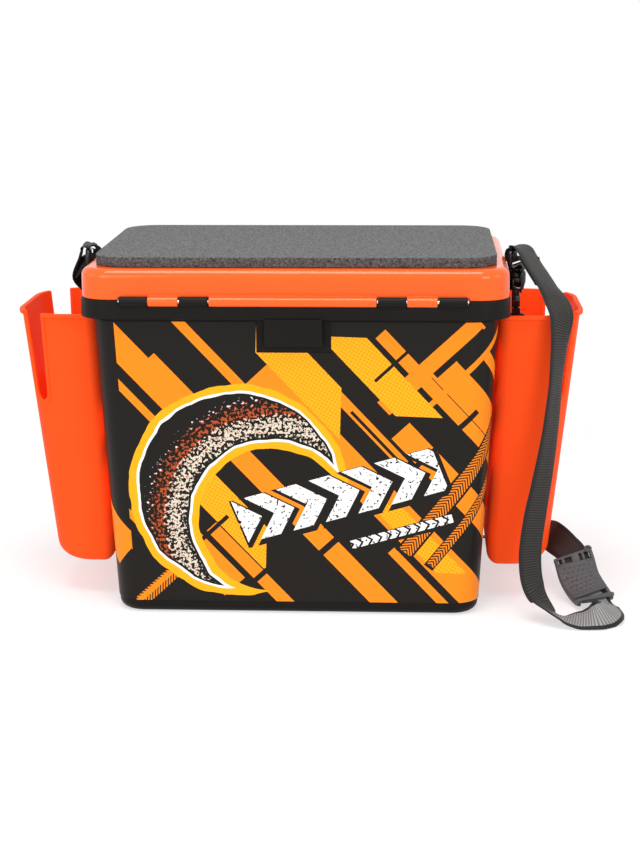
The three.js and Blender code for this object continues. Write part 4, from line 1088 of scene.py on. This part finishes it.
# Dots on the yellow: a slanted square net of small round dots.
DOT_PITCH = 3.1
DOT_ANGLE = math.radians(30)
DOT_REACH = 0.075
yellow_mask = bars(YELLOW_BARS)
dot_squares = []
for place in turned_xy(film_tree, film_uv, DOT_ANGLE):
    cell = film_sum("FRACT", film_sum("DIVIDE", place, DOT_PITCH * MM))
    off = film_sum("SUBTRACT", cell, 0.5)
    dot_squares.append(film_sum("MULTIPLY", off, off))
in_dot = film_sum("LESS_THAN", film_sum("ADD", *dot_squares), DOT_REACH)
layers += [
    (yellow_mask, PRINT_YELLOW),
    (film_sum("MULTIPLY", in_dot, yellow_mask), PRINT_ORANGE),
    (bars(BLACK_BARS), PRINT_BLACK),
]

# Hatched strips: bars cut into fine chevrons, two of them over a black ground.
HATCH_PITCH = 3.4
HATCH_SHARE = 0.5
HATCH_GROUNDS = [(146, 120, STEEP, 156, 17), (160, 96, STEEP, 126, 10)]
HATCHES = [(146, 120, STEEP, 150, 13), (160, 96, STEEP, 120, 8), (-128, 26, RISE, 90, 12)]
hatch_masks = [chevrons(bar(*row), HATCH_PITCH, HATCH_SHARE) for row in HATCHES]
layers += [(bars(HATCH_GROUNDS), PRINT_BLACK), (all_of(hatch_masks), PRINT_ORANGE)]

# The crescent: a disc less a second disc, in rings of colour from the edge inwards, with
# speckles of rust, cream and white over the black that a noise thins out.
EDGE_WOBBLE = 9
DISC, DISC_RADIUS = (-52, 118), 96.5
BITE, BITE_RADIUS = (-20, 90), 82.5
CRESCENT_RINGS = ((9, PRINT_YELLOW), (2.4, PRINT_WHITE), (0, PRINT_BLACK))
SPECKLE_INSET = 2
SPECKLE_THINNING = 0.10
SPECKLES = (
    (24, 15, 0.50, PRINT_RUST),
    (12, 11, 0.47, PRINT_CREAM),
    (13, 12, 0.60, PRINT_RUST),
    (38, 7, 0.61, PRINT_WHITE),
)
wear = noise(film_tree, film_uv, 330.0, 5.0)
wobble = noise(film_tree, film_uv, 30.0, 2.0)


def reach_from(u, v):
    """The distance of each point of the film from one, which a slow noise roughens."""
    inputs = {0: film_uv, 1: (u * MM, v * MM, 0.0)}
    off = add_node(film_tree, "VectorMath", {"operation": "SUBTRACT"}, inputs).outputs[0]
    reach = add_node(film_tree, "VectorMath", {"operation": "LENGTH"}, {0: off})
    return film_sum("MULTIPLY_ADD", wobble, EDGE_WOBBLE * MM, reach.outputs["Value"])


disc_reach = reach_from(*DISC)
bite_reach = reach_from(*BITE)


def crescent(grow):
    """The mask of the crescent, grown on all sides by a length in millimetres."""
    inside = film_sum("LESS_THAN", disc_reach, (DISC_RADIUS + grow) * MM)
    outside = film_sum("GREATER_THAN", bite_reach, (BITE_RADIUS - grow) * MM)
    return film_sum("MULTIPLY", inside, outside)


layers += [(crescent(grow), colour) for grow, colour in CRESCENT_RINGS]
depth_in = film_sum("SUBTRACT", bite_reach, BITE_RADIUS * MM)
for middle, half, worn, colour in SPECKLES:
    off = film_sum("ABSOLUTE", film_sum("SUBTRACT", depth_in, middle * MM))
    thinned = film_sum("MULTIPLY_ADD", off, SPECKLE_THINNING / (half * MM), worn)
    kept = film_sum("GREATER_THAN", wear, thinned)
    near = film_sum("LESS_THAN", off, half * MM)
    speckled = film_sum("MULTIPLY", near, kept)
    layers.append((film_sum("MULTIPLY", speckled, crescent(-SPECKLE_INSET)), colour))

# Worn white arrowheads that rise to the right over their black shadows, with a thin worn
# strip below them.
ARROW_ANGLE = 16.0
ARROW_PITCH, ARROW_SHARE = 31, 0.62
SHADE_SHARE, SHADE_LEAD = 0.82, 3
STRIP_PITCH, STRIP_SHARE = 9, 0.72
WORN_AWAY = 0.60
arrow_shade = bar(42, 113, ARROW_ANGLE, 196, 48, 0.1)
arrows = chevrons(bar(40, 115, ARROW_ANGLE, 190, 42, 0.1), ARROW_PITCH, ARROW_SHARE)
strip = chevrons(bar(97, 81, ARROW_ANGLE, 96, 8), STRIP_PITCH, STRIP_SHARE)
left_over = film_sum("LESS_THAN", wear, WORN_AWAY)
layers += [
    (chevrons(arrow_shade, ARROW_PITCH, SHADE_SHARE, SHADE_LEAD), PRINT_BLACK),
    (bar(98, 80, ARROW_ANGLE, 100, 12)["Mask"], PRINT_BLACK),
    (film_sum("MULTIPLY", arrows, left_over), PRINT_WHITE),
    (film_sum("MULTIPLY", strip, left_over), PRINT_WHITE),
]
film_colour = PRINT_BLACK
for mask, colour in layers:
    film_colour = colour_mix(film_tree, mask, film_colour, colour)
feed(film_shader, {"Base Color": film_colour})


def film_row(z, offset):
    """The film's path at a height and its run from the middle of the front."""
    ring = tub_ring(z, -offset)
    corner = len(ring) // 4
    start = [[-(ring[0, 0] - offset) * FILM_START_SHARE, ring[-corner, 1], z]]
    path = np.vstack([start, ring[3 * corner :], ring[: corner - 1]])
    return path, run_along(path) + path[0, 0]


def film_shape():
    """The film as a closed thin shell, with U along the wall and V up it."""
    rings = []
    uv = []
    for z, offset in (
        (FILM_BOTTOM, FILM_GAP),
        (FILM_BOTTOM, FILM_GAP + FILM_THICK),
        (FILM_TOP, FILM_GAP + FILM_THICK),
        (FILM_TOP, FILM_GAP),
    ):
        path, run = film_row(z, offset)
        rings.append(path)
        uv.append(np.stack([run, np.full(len(run), z)], 1))
    return skin(np.stack(rings, axis=1)), np.stack(uv, axis=1)


def blocks(rows):
    """Several soft blocks, from rows of x, x, y, y, z, z and edge."""
    return [soft_block(*row) for row in rows]


def half_turned(shape, side):
    """A shape of the right side, turned half round the box for the left side."""
    return shape[0] * [side, side, 1], shape[1]


# Room is cut from each film for the boss, the lug and the pocket's screws.
film_cuts = blocks([BOSS_NOTCH, (CUT_FROM, CUT_TO, *LUG_NOTCH)])
film_cuts += [rod(CUT_FROM, CUT_TO, y, z, SCREW_NOTCH) for y, z in SCREWS.values()]
film_cuts = together(*film_cuts)
film_sheet, film_map = film_shape()
for film_name, turn in (("front_print_film", 1), ("rear_print_film", -1)):
    sheet = half_turned(film_sheet, turn)
    film = put_mesh(film_name + "_piece", sheet, print_film, uv=film_map)
    carve(film, half_turned(film_cuts, turn))
    smooth(film)
    install(film, "tub", film_name, True)


# Lid. One orange polypropylene moulding with a rounded top edge, a lip that drops into the
# tub, stiffening ribs below, and a bead and two knuckles along its hinge side. Two ears at
# the far side hold the latch's pin.
LID_BOTTOM, LID_TOP = 296.2, 323.5
LID_INSET = 1.4
LID_FILLET = 8
LID_WALL = 2.6
LIP_PLAY = 1
LIP_BOTTOM = LID_BOTTOM - 6
LIP_THICK, LIP_TIP, LIP_CHAMFER = 2, 1.7, 0.3
LOWER_EDGE = 0.5
FLAT_MARGIN = 3
BEAD_HALF = 74
RIB_DEPTH, RIB_HALF = 12, 1
LONG_RIBS, LONG_RIB_HALF = (-42, 42), 177
SHORT_RIBS, SHORT_RIB_HALF = (-116, 0, 116), 117
EAR_START, EAR_END = 20.9, 25.9
EAR_HALF_HIGH = 3.5
LATCH_Y, LATCH_Z = 132.2, 305.2
LATCH_BARREL = 3.4

lid_orange = moulded_plastic(
    "lid polypropylene", (0.93, 0.114, 0.008), 0.13, 1500.0, 0.04, 0.36
)


def lid_ring(z, inset):
    """The lid's outside at a height, moved in by an inset."""
    return rim_ring(z, LID_INSET + inset)


def lip_ring(z, inset):
    """The lip's outside, which follows the tub's opening with a little play."""
    ring = tub_ring(BAND_TOP, WALL + LIP_PLAY + inset)
    ring[:, 2] = z
    return ring


lid_inside = LID_TOP - LID_WALL
lid_rings = [
    lip_ring(lid_inside, FLAT_MARGIN),
    lip_ring(lid_inside, LIP_THICK),
    lip_ring(LIP_BOTTOM, LIP_TIP),
    lip_ring(LIP_BOTTOM, LIP_CHAMFER),
    lip_ring(lid_inside, 0),
    lid_ring(lid_inside, LID_WALL),
    lid_ring(LID_BOTTOM, LID_WALL),
    lid_ring(LID_BOTTOM, LOWER_EDGE),
    lid_ring(LID_BOTTOM + LOWER_EDGE, 0),
]
lid_rings += [lid_ring(LID_TOP - LID_FILLET * h, LID_FILLET * i) for i, h in fillet(10)[::-1]]
lid_rings.append(lid_ring(LID_TOP, LID_FILLET + FLAT_MARGIN))
lid = put_mesh("lid", skin(lid_rings), lid_orange)
scoop_half = KNUCKLE_LENGTH / 2 + SCOOP_PLAY
for side, place in ((-1, -1), (-1, 1), (1, -1), (1, 1)):
    middle = knuckle_middle(side, place)
    carve(lid, scoop(middle - scoop_half, middle + scoop_half))
lid_parts = [taken_back(lid), *knuckle(-1, 0), *knuckle(1, 0)]
lid_parts += barrel(-BEAD_HALF, BEAD_HALF, LID_BOTTOM, AXIS_Z + WEB_REACH)
rib_plans = [(x - RIB_HALF, x + RIB_HALF, -SHORT_RIB_HALF, SHORT_RIB_HALF) for x in SHORT_RIBS]
rib_plans += [(-LONG_RIB_HALF, LONG_RIB_HALF, y - RIB_HALF, y + RIB_HALF) for y in LONG_RIBS]
rib_heights = (lid_inside - RIB_DEPTH, LID_TOP - LID_WALL / 2, 0.3)
lid_parts += blocks([(*plan, *rib_heights) for plan in rib_plans])
ear_y = (RIM_Y - LID_INSET - LID_WALL / 2, LATCH_Y + LATCH_BARREL)
ear = (*ear_y, LATCH_Z - EAR_HALF_HIGH, LATCH_Z + EAR_HALF_HIGH, 0.8)
lid_parts += blocks([(-EAR_END, -EAR_START, *ear), (EAR_START, EAR_END, *ear)])
lid = put_mesh("lid", together(*lid_parts), lid_orange)
install(lid, "lid", "lid_shell", True)


# Seat pad. Closed-cell foam sheet, 9.3 mm thick, cut with rounded corners and stuck to the
# lid. Its face is open-pored and speckled, and its sides are painted darker and warmer as shade.
PAD_X, PAD_Y, PAD_RADIUS = 180.65, 116.75, 30
PAD_BOTTOM = LID_TOP + 0.3
PAD_THICK = 9.3
PAD_EDGE = 0.9
FACE_DARK, FACE_LIGHT = (0.030, 0.030, 0.032), (0.262, 0.262, 0.264)
SHADED_SIDE_DARK, SHADED_SIDE_LIGHT = (0.012, 0.011, 0.011), (0.155, 0.145, 0.143)

foam, foam_tree, foam_shader = principled(
    "foam", (0.1, 0.1, 0.1), 0.92, {"Specular IOR Level": 0.25}
)
foam_place = add_node(foam_tree, "TexCoord").outputs
foam_cells = add_node(
    foam_tree, "TexVoronoi", None, {"Vector": foam_place["Object"], "Scale": 620.0}
)
foam_noise = noise(foam_tree, foam_place["Object"], 430.0, 6.0, {"Roughness": 0.8})
foam_speck = map_range(foam_tree, foam_noise, 0.36, 0.66)
foam_up = add_node(foam_tree, "SeparateXYZ", None, {0: foam_place["Normal"]}).outputs["Z"]
foam_face = colour_mix(foam_tree, foam_speck, FACE_DARK, FACE_LIGHT)
foam_shaded_side = colour_mix(foam_tree, foam_speck, SHADED_SIDE_DARK, SHADED_SIDE_LIGHT)
# Painted shade: faces that look sideways take the darker, warmer colours, faces that look up the
# lighter ones.
foam_level = map_range(foam_tree, foam_up, 0.35, 0.85)
foam_height = sums(foam_tree, "ADD", foam_cells.outputs["Distance"], foam_noise)
foam_look = {
    "Base Color": colour_mix(foam_tree, foam_level, foam_shaded_side, foam_face),
    "Normal": bump(foam_tree, foam_height, 0.9, 0.5),
}
feed(foam_shader, foam_look)

pad_rings = [
    even_ring(PAD_X - inset, PAD_Y - inset, PAD_RADIUS - inset, PAD_BOTTOM + height, 14)
    for height, inset in (
        (0.0, 0.6),
        (0.5, 0.0),
        (PAD_THICK - PAD_EDGE, 0.0),
        (PAD_THICK - 0.6 * PAD_EDGE, 0.15 * PAD_EDGE),
        (PAD_THICK - 0.2 * PAD_EDGE, 0.5 * PAD_EDGE),
        (PAD_THICK, 1.3 * PAD_EDGE),
        (PAD_THICK, 6 * PAD_EDGE),
    )
]
pad = put_mesh("foam_pad", skin(pad_rings), foam)
install(pad, "lid", "seat_pad", True)


# Hinge pins. Bright steel wire, one through each set of three knuckles, a little proud at
# both ends.
SIDES = {"left": -1, "right": 1}
PIN_HALF = HINGE_HALF + 1
PIN_RADIUS = 1.5

steel, steel_tree, steel_shader = principled(
    "bright steel", (0.78, 0.77, 0.75), 0.22, {"Metallic": 1.0}
)
steel_marks = add_node(steel_tree, "Group", {"node_tree": grain}, {"Scale": 400.0}).outputs
steel_gloss = map_range(steel_tree, steel_marks["Height"], SMUDGE_FROM, SMUDGE_TO, 0.15, 0.32)
feed(steel_shader, {"Roughness": steel_gloss})
for side_name, side in SIDES.items():
    middle = side * HINGE_CENTRE
    pin_shape = rod(middle - PIN_HALF, middle + PIN_HALF, AXIS_Y, AXIS_Z, PIN_RADIUS, 0.4)
    pin = put_mesh("hinge_pin_" + side_name + "_piece", pin_shape, steel)
    install(pin, "tub", "hinge_pin_" + side_name)


# Latch. A black lever on the far side, hung on a steel pin between two ears of the lid. It
# has a finger lip along its lower edge and two shallow ribs.
LATCH_HALF = 20.4
LATCH_PIN_HALF, LATCH_PIN_RADIUS = 25.9, 1.3
LATCH_RIBS = (-12, 12)

latch_blocks = [
    (-LATCH_HALF, LATCH_HALF, 130.6, 133.4, 258.2, 304.2, 0.7),
    (-LATCH_HALF, LATCH_HALF, 130.6, 137.4, 258.2, 261.2, 0.8),
    *((x - 1, x + 1, 132, 134.2, 266, 298, 0.5) for x in LATCH_RIBS),
]
latch_barrel = rod(-LATCH_HALF, LATCH_HALF, LATCH_Y, LATCH_Z, LATCH_BARREL, 0.5, 28)
latch = put_mesh("latch", together(latch_barrel, *blocks(latch_blocks)), black_plastic)
install(latch, "latch", "latch_lever", True)
latch_pin_shape = rod(-LATCH_PIN_HALF, LATCH_PIN_HALF, LATCH_Y, LATCH_Z, LATCH_PIN_RADIUS)
latch_pin = put_mesh("latch_pin_piece", latch_pin_shape, steel)
install(latch_pin, "lid", "latch_pin")


# Side pockets. Two orange polypropylene bins with a rolled rim, a rounded rod slot at each
# outer corner with a beaded edge, and three bosses for the screws that come from the tub.
# Their back, front, half width and outer corners are given at the bottom and at the top.
POCKET_BOTTOM, POCKET_TOP = 31, 275
POCKET_BACK = (176, 185)
POCKET_FRONT = (234.5, 260.8)
POCKET_HALF = (63, 80)
POCKET_CORNER = (36, 46)
POCKET_BACK_CORNER = 10
POCKET_FILLET = 16
POCKET_WALL = 2.2
POCKET_LIP = 2.5
LIP_HEIGHT = 4
SLOT_ANGLE = math.radians(48)
SLOT_DEPTH = 86
SLOT_HALF_TOP, SLOT_HALF = 13, 10
SLOT_BEAD = 2.0
SLOT_CUT = (23, 69)
LUG_ROOM = (170, 188.2)
SCREW_BOSS_RADIUS, SCREW_BOSS_START, SCREW_BOSS_END = 5.5, 0.3, 13.6

# The pocket plastic glows weakly red: painted light that stands in for light shining through and
# bouncing between its red walls.
pocket_orange = moulded_plastic(
    "pocket polypropylene",
    (0.95, 0.089, 0.014),
    0.42,
    1500.0,
    0.05,
    0.07,
    {"Emission Color": (1.0, 0.03, 0.006, 1.0), "Emission Strength": 0.16, "IOR": 1.22},
)


def pocket_ring(z, inset, outward=0.0):
    """A right pocket's outside at a height, moved in by an inset, or out but for its back."""
    share = (z - POCKET_BOTTOM) / (POCKET_TOP - POCKET_BOTTOM)
    sizes = (POCKET_BACK, POCKET_FRONT, POCKET_HALF, POCKET_CORNER)
    back, front, half, corner = (low + (high - low) * share for low, high in sizes)
    return corner_ring(
        back + inset,
        front - inset + outward,
        half - inset + outward,
        z,
        max(POCKET_BACK_CORNER - inset, POCKET_WALL),
        corner - inset + outward,
        14,
    )


def slot_outline(steps=14):
    """Half widths and heights down one side of a rod slot, round its end and up again."""
    centre = POCKET_TOP - SLOT_DEPTH + SLOT_HALF
    heights = np.linspace(POCKET_TOP - 0.5, centre, 12)[:-1]
    share = (heights - centre) / (POCKET_TOP - centre)
    down = np.stack([-(SLOT_HALF + (SLOT_HALF_TOP - SLOT_HALF) * share), heights], 1)
    angle = np.pi + np.arange(steps + 1) / steps * np.pi
    end = np.stack([SLOT_HALF * np.cos(angle), centre + SLOT_HALF * np.sin(angle)], 1)
    return np.vstack([down, end, down[::-1] * [-1, 1]])


def slot_axes(end):
    """Where a slot's cut starts, the way it goes and the way across it."""
    inwards = POCKET_CORNER[1]
    start = np.array([POCKET_FRONT[1] - inwards, end * (POCKET_HALF[1] - inwards)])
    way = np.array([math.cos(SLOT_ANGLE), end * math.sin(SLOT_ANGLE)])
    return start, way, np.array([-way[1], way[0]])


def slot_tool(end):
    """The solid that cuts one slot."""
    start, way, over = slot_axes(end)
    outline = slot_outline()
    outline = np.vstack([outline[:1] + [0, 3], outline, outline[-1:] + [0, 3]])
    rings = []
    for reach in SLOT_CUT:
        flat = start + way * reach + over * outline[:, :1]
        rings.append(np.column_stack([flat, outline[:, 1]]))
    return skin(rings)


def on_wall(start, way, ring):
    """Where a ray in the plane crosses a closed ring, at its farthest."""
    a = ring[:, :2]
    edge = np.roll(a, -1, axis=0) - a
    det = way[0] * edge[:, 1] - way[1] * edge[:, 0]
    det = np.where(np.abs(det) < 1e-9, 1e-9, det)
    gap = a - start
    reach = (gap[:, 0] * edge[:, 1] - gap[:, 1] * edge[:, 0]) / det
    share = (gap[:, 0] * way[1] - gap[:, 1] * way[0]) / det
    good = (share >= 0) & (share <= 1) & (reach > 0)
    return start + way * reach[good].max()


def slot_bead(end):
    """The bead round one slot's edge, near the outside of the wall."""
    start, way, over = slot_axes(end)
    path = []
    for across, z in slot_outline():
        flat = on_wall(start + over * across, way, pocket_ring(z, POCKET_WALL / 8))
        path.append([*flat, z])
    return tube(path, SLOT_BEAD, (*way, 0.0), 12)


def pocket_shape():
    """A pocket's wall, from the middle of its bottom outside, over the rim and down inside."""
    lip_low = POCKET_TOP - LIP_HEIGHT
    inner = POCKET_FILLET - POCKET_WALL
    rounds = fillet(8)
    rings = [pocket_ring(POCKET_BOTTOM + POCKET_FILLET * h, POCKET_FILLET * i) for i, h in rounds]
    rings += [
        pocket_ring(z, 0, outward)
        for z, outward in (
            (lip_low - 0.9, 0),
            (lip_low - 0.4, 0.3),
            (lip_low, 1.8),
            (lip_low + 0.5, POCKET_LIP),
            (POCKET_TOP - 0.9, POCKET_LIP),
            (POCKET_TOP - 0.25, POCKET_LIP - 0.4),
            (POCKET_TOP, POCKET_LIP - 1.1),
        )
    ]
    rings.append(pocket_ring(POCKET_TOP, POCKET_WALL - 0.6))
    rings.append(pocket_ring(POCKET_TOP - 0.6, POCKET_WALL))
    rings += [
        pocket_ring(POCKET_BOTTOM + POCKET_WALL + inner * h, POCKET_WALL + inner * i)
        for i, h in rounds[::-1]
    ]
    return skin(rings)


def tub_x(z):
    """Half the tub's width at a height."""
    return tub_ring(z, 0)[:, 0].max()


def screw_boss(y, z):
    """The boss that one screw bites in, from the tub's wall outwards."""
    wall = tub_x(z)
    return rod(wall + SCREW_BOSS_START, wall + SCREW_BOSS_END, y, z, SCREW_BOSS_RADIUS, 0.5)


pocket = put_mesh("pocket", pocket_shape(), pocket_orange)
lug_room = soft_block(*LUG_ROOM, *LUG_NOTCH)
carve(pocket, together(slot_tool(-1), slot_tool(1), lug_room))
pocket_parts = [taken_back(pocket), slot_bead(-1), slot_bead(1)]
pocket_parts += [screw_boss(y, z) for y, z in SCREWS.values()]
for side_name, side in SIDES.items():
    pocket_turned = half_turned(together(*pocket_parts), side)
    pocket = put_mesh("pocket_" + side_name + "_piece", pocket_turned, pocket_orange)
    install(pocket, "tub", "pocket_" + side_name, True)


# Pocket screws. Steel pan-head screws, three to a pocket, driven from inside the tub, with a
# cross recess in each head. The profile's heights are from the underside of the head.
SCREW_PROFILE = [
    (2.4, -2.4),
    (3.4, -2.0),
    (4.0, -1.2),
    (4.2, -0.2),
    (4.2, 0),
    (1.9, 0),
    (1.9, 12.5),
    (0.9, 14),
]
RECESS_FROM, RECESS_TO = -3.5, -1.1
RECESS_LONG, RECESS_SHORT = 2.2, 0.5


def screw_shape(y, z):
    """One screw of the right pocket."""
    base = tub_x(z) - WALL - 0.3
    profile = [(radius, base + height) for radius, height in SCREW_PROFILE]
    screw = put_mesh("screw", turned(profile, (0.0, y, z), "x"), steel)
    for half_y, half_z in ((RECESS_LONG, RECESS_SHORT), (RECESS_SHORT, RECESS_LONG)):
        slot = (y - half_y, y + half_y, z - half_z, z + half_z, 0.1)
        carve(screw, soft_block(base + RECESS_FROM, base + RECESS_TO, *slot))
    return taken_back(screw)


right_screws = {name: screw_shape(y, z) for name, (y, z) in SCREWS.items()}
for side_name, side in SIDES.items():
    for screw_name, right_screw in right_screws.items():
        node_name = "pocket_screw_" + side_name + "_" + screw_name
        screw = put_mesh(node_name + "_piece", half_turned(right_screw, side), steel)
        install(screw, "tub", node_name, True)


# Snap hooks. Each is a black moulded swivel hook hung in its lug: a hook with a round barrel
# above it, a sprung gate on a steel pin, and a webbing eye that swivels in the barrel. The
# hook's own frame has its origin in the middle of the bend.
HOOK_X, HOOK_Z = 203, 265.83
EYE_TURN = {"left": math.radians(-8), "right": math.radians(25)}
BEND_RADIUS = 11
GATE_Z = 24
HOOK_HALF = 3.5
HOOK_SECTION = (HOOK_HALF, 3, 1.4)
HOOK_NOSE = [5.5, 5.0, 2.5]
HOOK_BACK = [8, 16, 30]
HOOK_BLOCKS = [
    (-HOOK_HALF, HOOK_HALF, -6, 14, 20.5, 33.5, 1.2),
    (-HOOK_HALF, HOOK_HALF, -14, 14, 28.6, 34, 1.2),
    (-4.5, -3.1, -14, -6, 19.5, 33, 0.5),
    (3.1, 4.5, -14, -6, 19.5, 33, 0.5),
]
BARREL_PROFILE = [
    (4.6, 20.5),
    (6.4, 20.5),
    (7.2, 21.3),
    (7.2, 23.0),
    (8.8, 28.8),
    (8.8, 36.6),
    (8.3, 38.2),
    (7.4, 39.0),
    (4.0, 39.0),
]
GATE_BLOCKS = [
    (-3.0, -0.1, -13.4, -9.7, 16.5, 24, 0.5),
    (-3.0, 3.0, -13.4, -8.6, 5.9, 17.5, 1.0),
    (-3.0, 3.0, -15.2, -12.4, 10, 14, 0.9),
]
GATE_KNUCKLE, GATE_KNUCKLE_RADIUS = (-3.0, -0.1), 2.9
GATE_PIN_HALF, GATE_PIN_RADIUS = 4.5, 0.95
SPRING_START, SPRING_RADIUS, SPRING_WIRE = 0.7, 1.7, 0.25
EYE_HALF, EYE_HALF_HIGH, EYE_CORNER, EYE_Z = 17, 7.25, 5, 50.75
EYE_BAR_HALF, EYE_SIDE_HALF, EYE_HALF_DEEP = 2.45, 1.9, 2.5
EYE_FOOT = [(7.2, 39.4), (7.8, 39.9), (7.8, 41.6), (5.6, 43.6), (3.0, 44.6)]
EYE_STEM = [(4.2, 17.9), (4.2, 20.1), (2.6, 20.1), (2.6, 40.0)]

hook_black = moulded_plastic("hook acetal", (0.008, 0.008, 0.008), 0.26, 1200.0, 0.08, 0.35)


def hung(shape, side, turn=0.0):
    """A shape from the hook's own frame, turned about its upright, put in its place."""
    x, y, z = shape[0].T
    x, y = x * math.cos(turn) + y * math.sin(turn), y * math.cos(turn) - x * math.sin(turn)
    points = np.column_stack([x, y, z]) * [side, side, 1]
    return points + (side * HOOK_X, 0.0, HOOK_Z), shape[1]


def upright_frames(path, along):
    """Frames for a path in the plane of the hook."""
    across = np.broadcast_to([1.0, 0.0, 0.0], path.shape)
    return path, across, np.cross(along, across)


def hook_shape():
    """The bent hook, its shoulders, the two cheeks that hold the gate, and the barrel."""
    angle = np.pi + np.arange(25) / 24 * np.pi
    bend = BEND_RADIUS * np.stack([np.zeros(25), np.cos(angle), np.sin(angle)], 1)
    nose = [[0, -BEND_RADIUS, z] for z in HOOK_NOSE]
    back = [[0, BEND_RADIUS, z] for z in HOOK_BACK]
    path = np.vstack([nose, bend, back])
    half_across, half_up, edge = HOOK_SECTION
    ring = corner_ring(-half_across, half_across, half_up, 0.0, edge, edge, 3)[:, :2]
    section = np.stack([ring] * len(path))
    section[0] *= 0.75
    bent = swept(upright_frames(path, unit(np.gradient(path, axis=0))), section)
    return together(bent, *blocks(HOOK_BLOCKS), turned(BARREL_PROFILE))


def gate_shape():
    """The gate: a bar with a thumb rib, hung by a narrower knuckle."""
    knuckle_rod = rod(*GATE_KNUCKLE, -BEND_RADIUS, GATE_Z, GATE_KNUCKLE_RADIUS)
    return together(knuckle_rod, *blocks(GATE_BLOCKS))


def gate_pin_shape():
    """The pin that the gate turns on."""
    return rod(-GATE_PIN_HALF, GATE_PIN_HALF, -BEND_RADIUS, GATE_Z, GATE_PIN_RADIUS, 0.2)


def spring_shape():
    """The gate's spring: two turns of wire round the pin."""
    turn = np.arange(49) / 24
    y = -BEND_RADIUS + SPRING_RADIUS * np.cos(turn * 2 * np.pi)
    z = GATE_Z + SPRING_RADIUS * np.sin(turn * 2 * np.pi)
    path = np.stack([SPRING_START + turn, y, z], 1)
    return tube(path, SPRING_WIRE, (1.0, 0.0, 0.0), 8)


def eye_shape():
    """The webbing eye: a rounded oblong loop on a round foot, with its stem and head."""
    sizes = (-EYE_HALF, EYE_HALF, EYE_HALF_HIGH, 0.0, EYE_CORNER, EYE_CORNER)
    ring = corner_ring(*sizes, 8)
    path = np.column_stack([np.zeros(len(ring)), ring[:, 0], ring[:, 1] + EYE_Z])
    along = unit(np.roll(path, -1, axis=0) - np.roll(path, 1, axis=0))
    frames = upright_frames(path, along)
    half = np.hypot(EYE_BAR_HALF * frames[2][:, 2], EYE_SIDE_HALF * frames[2][:, 1])
    section = np.stack([circle(1.0, 16) * [EYE_HALF_DEEP, h] for h in half])
    loop = swept(frames, section, True)
    return together(loop, turned(EYE_FOOT), turned(EYE_STEM, sides=24))


for side_name, side in SIDES.items():
    gate_body = "gate_" + side_name
    for node_name, shape, material, body, slot, turn in (
        ("snap_hook_", hook_shape(), hook_black, "tub", "hook_black", 0.0),
        ("hook_gate_", gate_shape(), hook_black, gate_body, "hook_black", 0.0),
        ("gate_pin_", gate_pin_shape(), steel, "tub", "steel", 0.0),
        ("gate_spring_", spring_shape(), steel, "tub", "steel", 0.0),
        ("strap_eye_", eye_shape(), hook_black, "tub", "hook_black", EYE_TURN[side_name]),
    ):
        small = put_mesh(node_name + side_name + "_piece", hung(shape, side, turn), material)
        install(small, body, node_name + side_name)
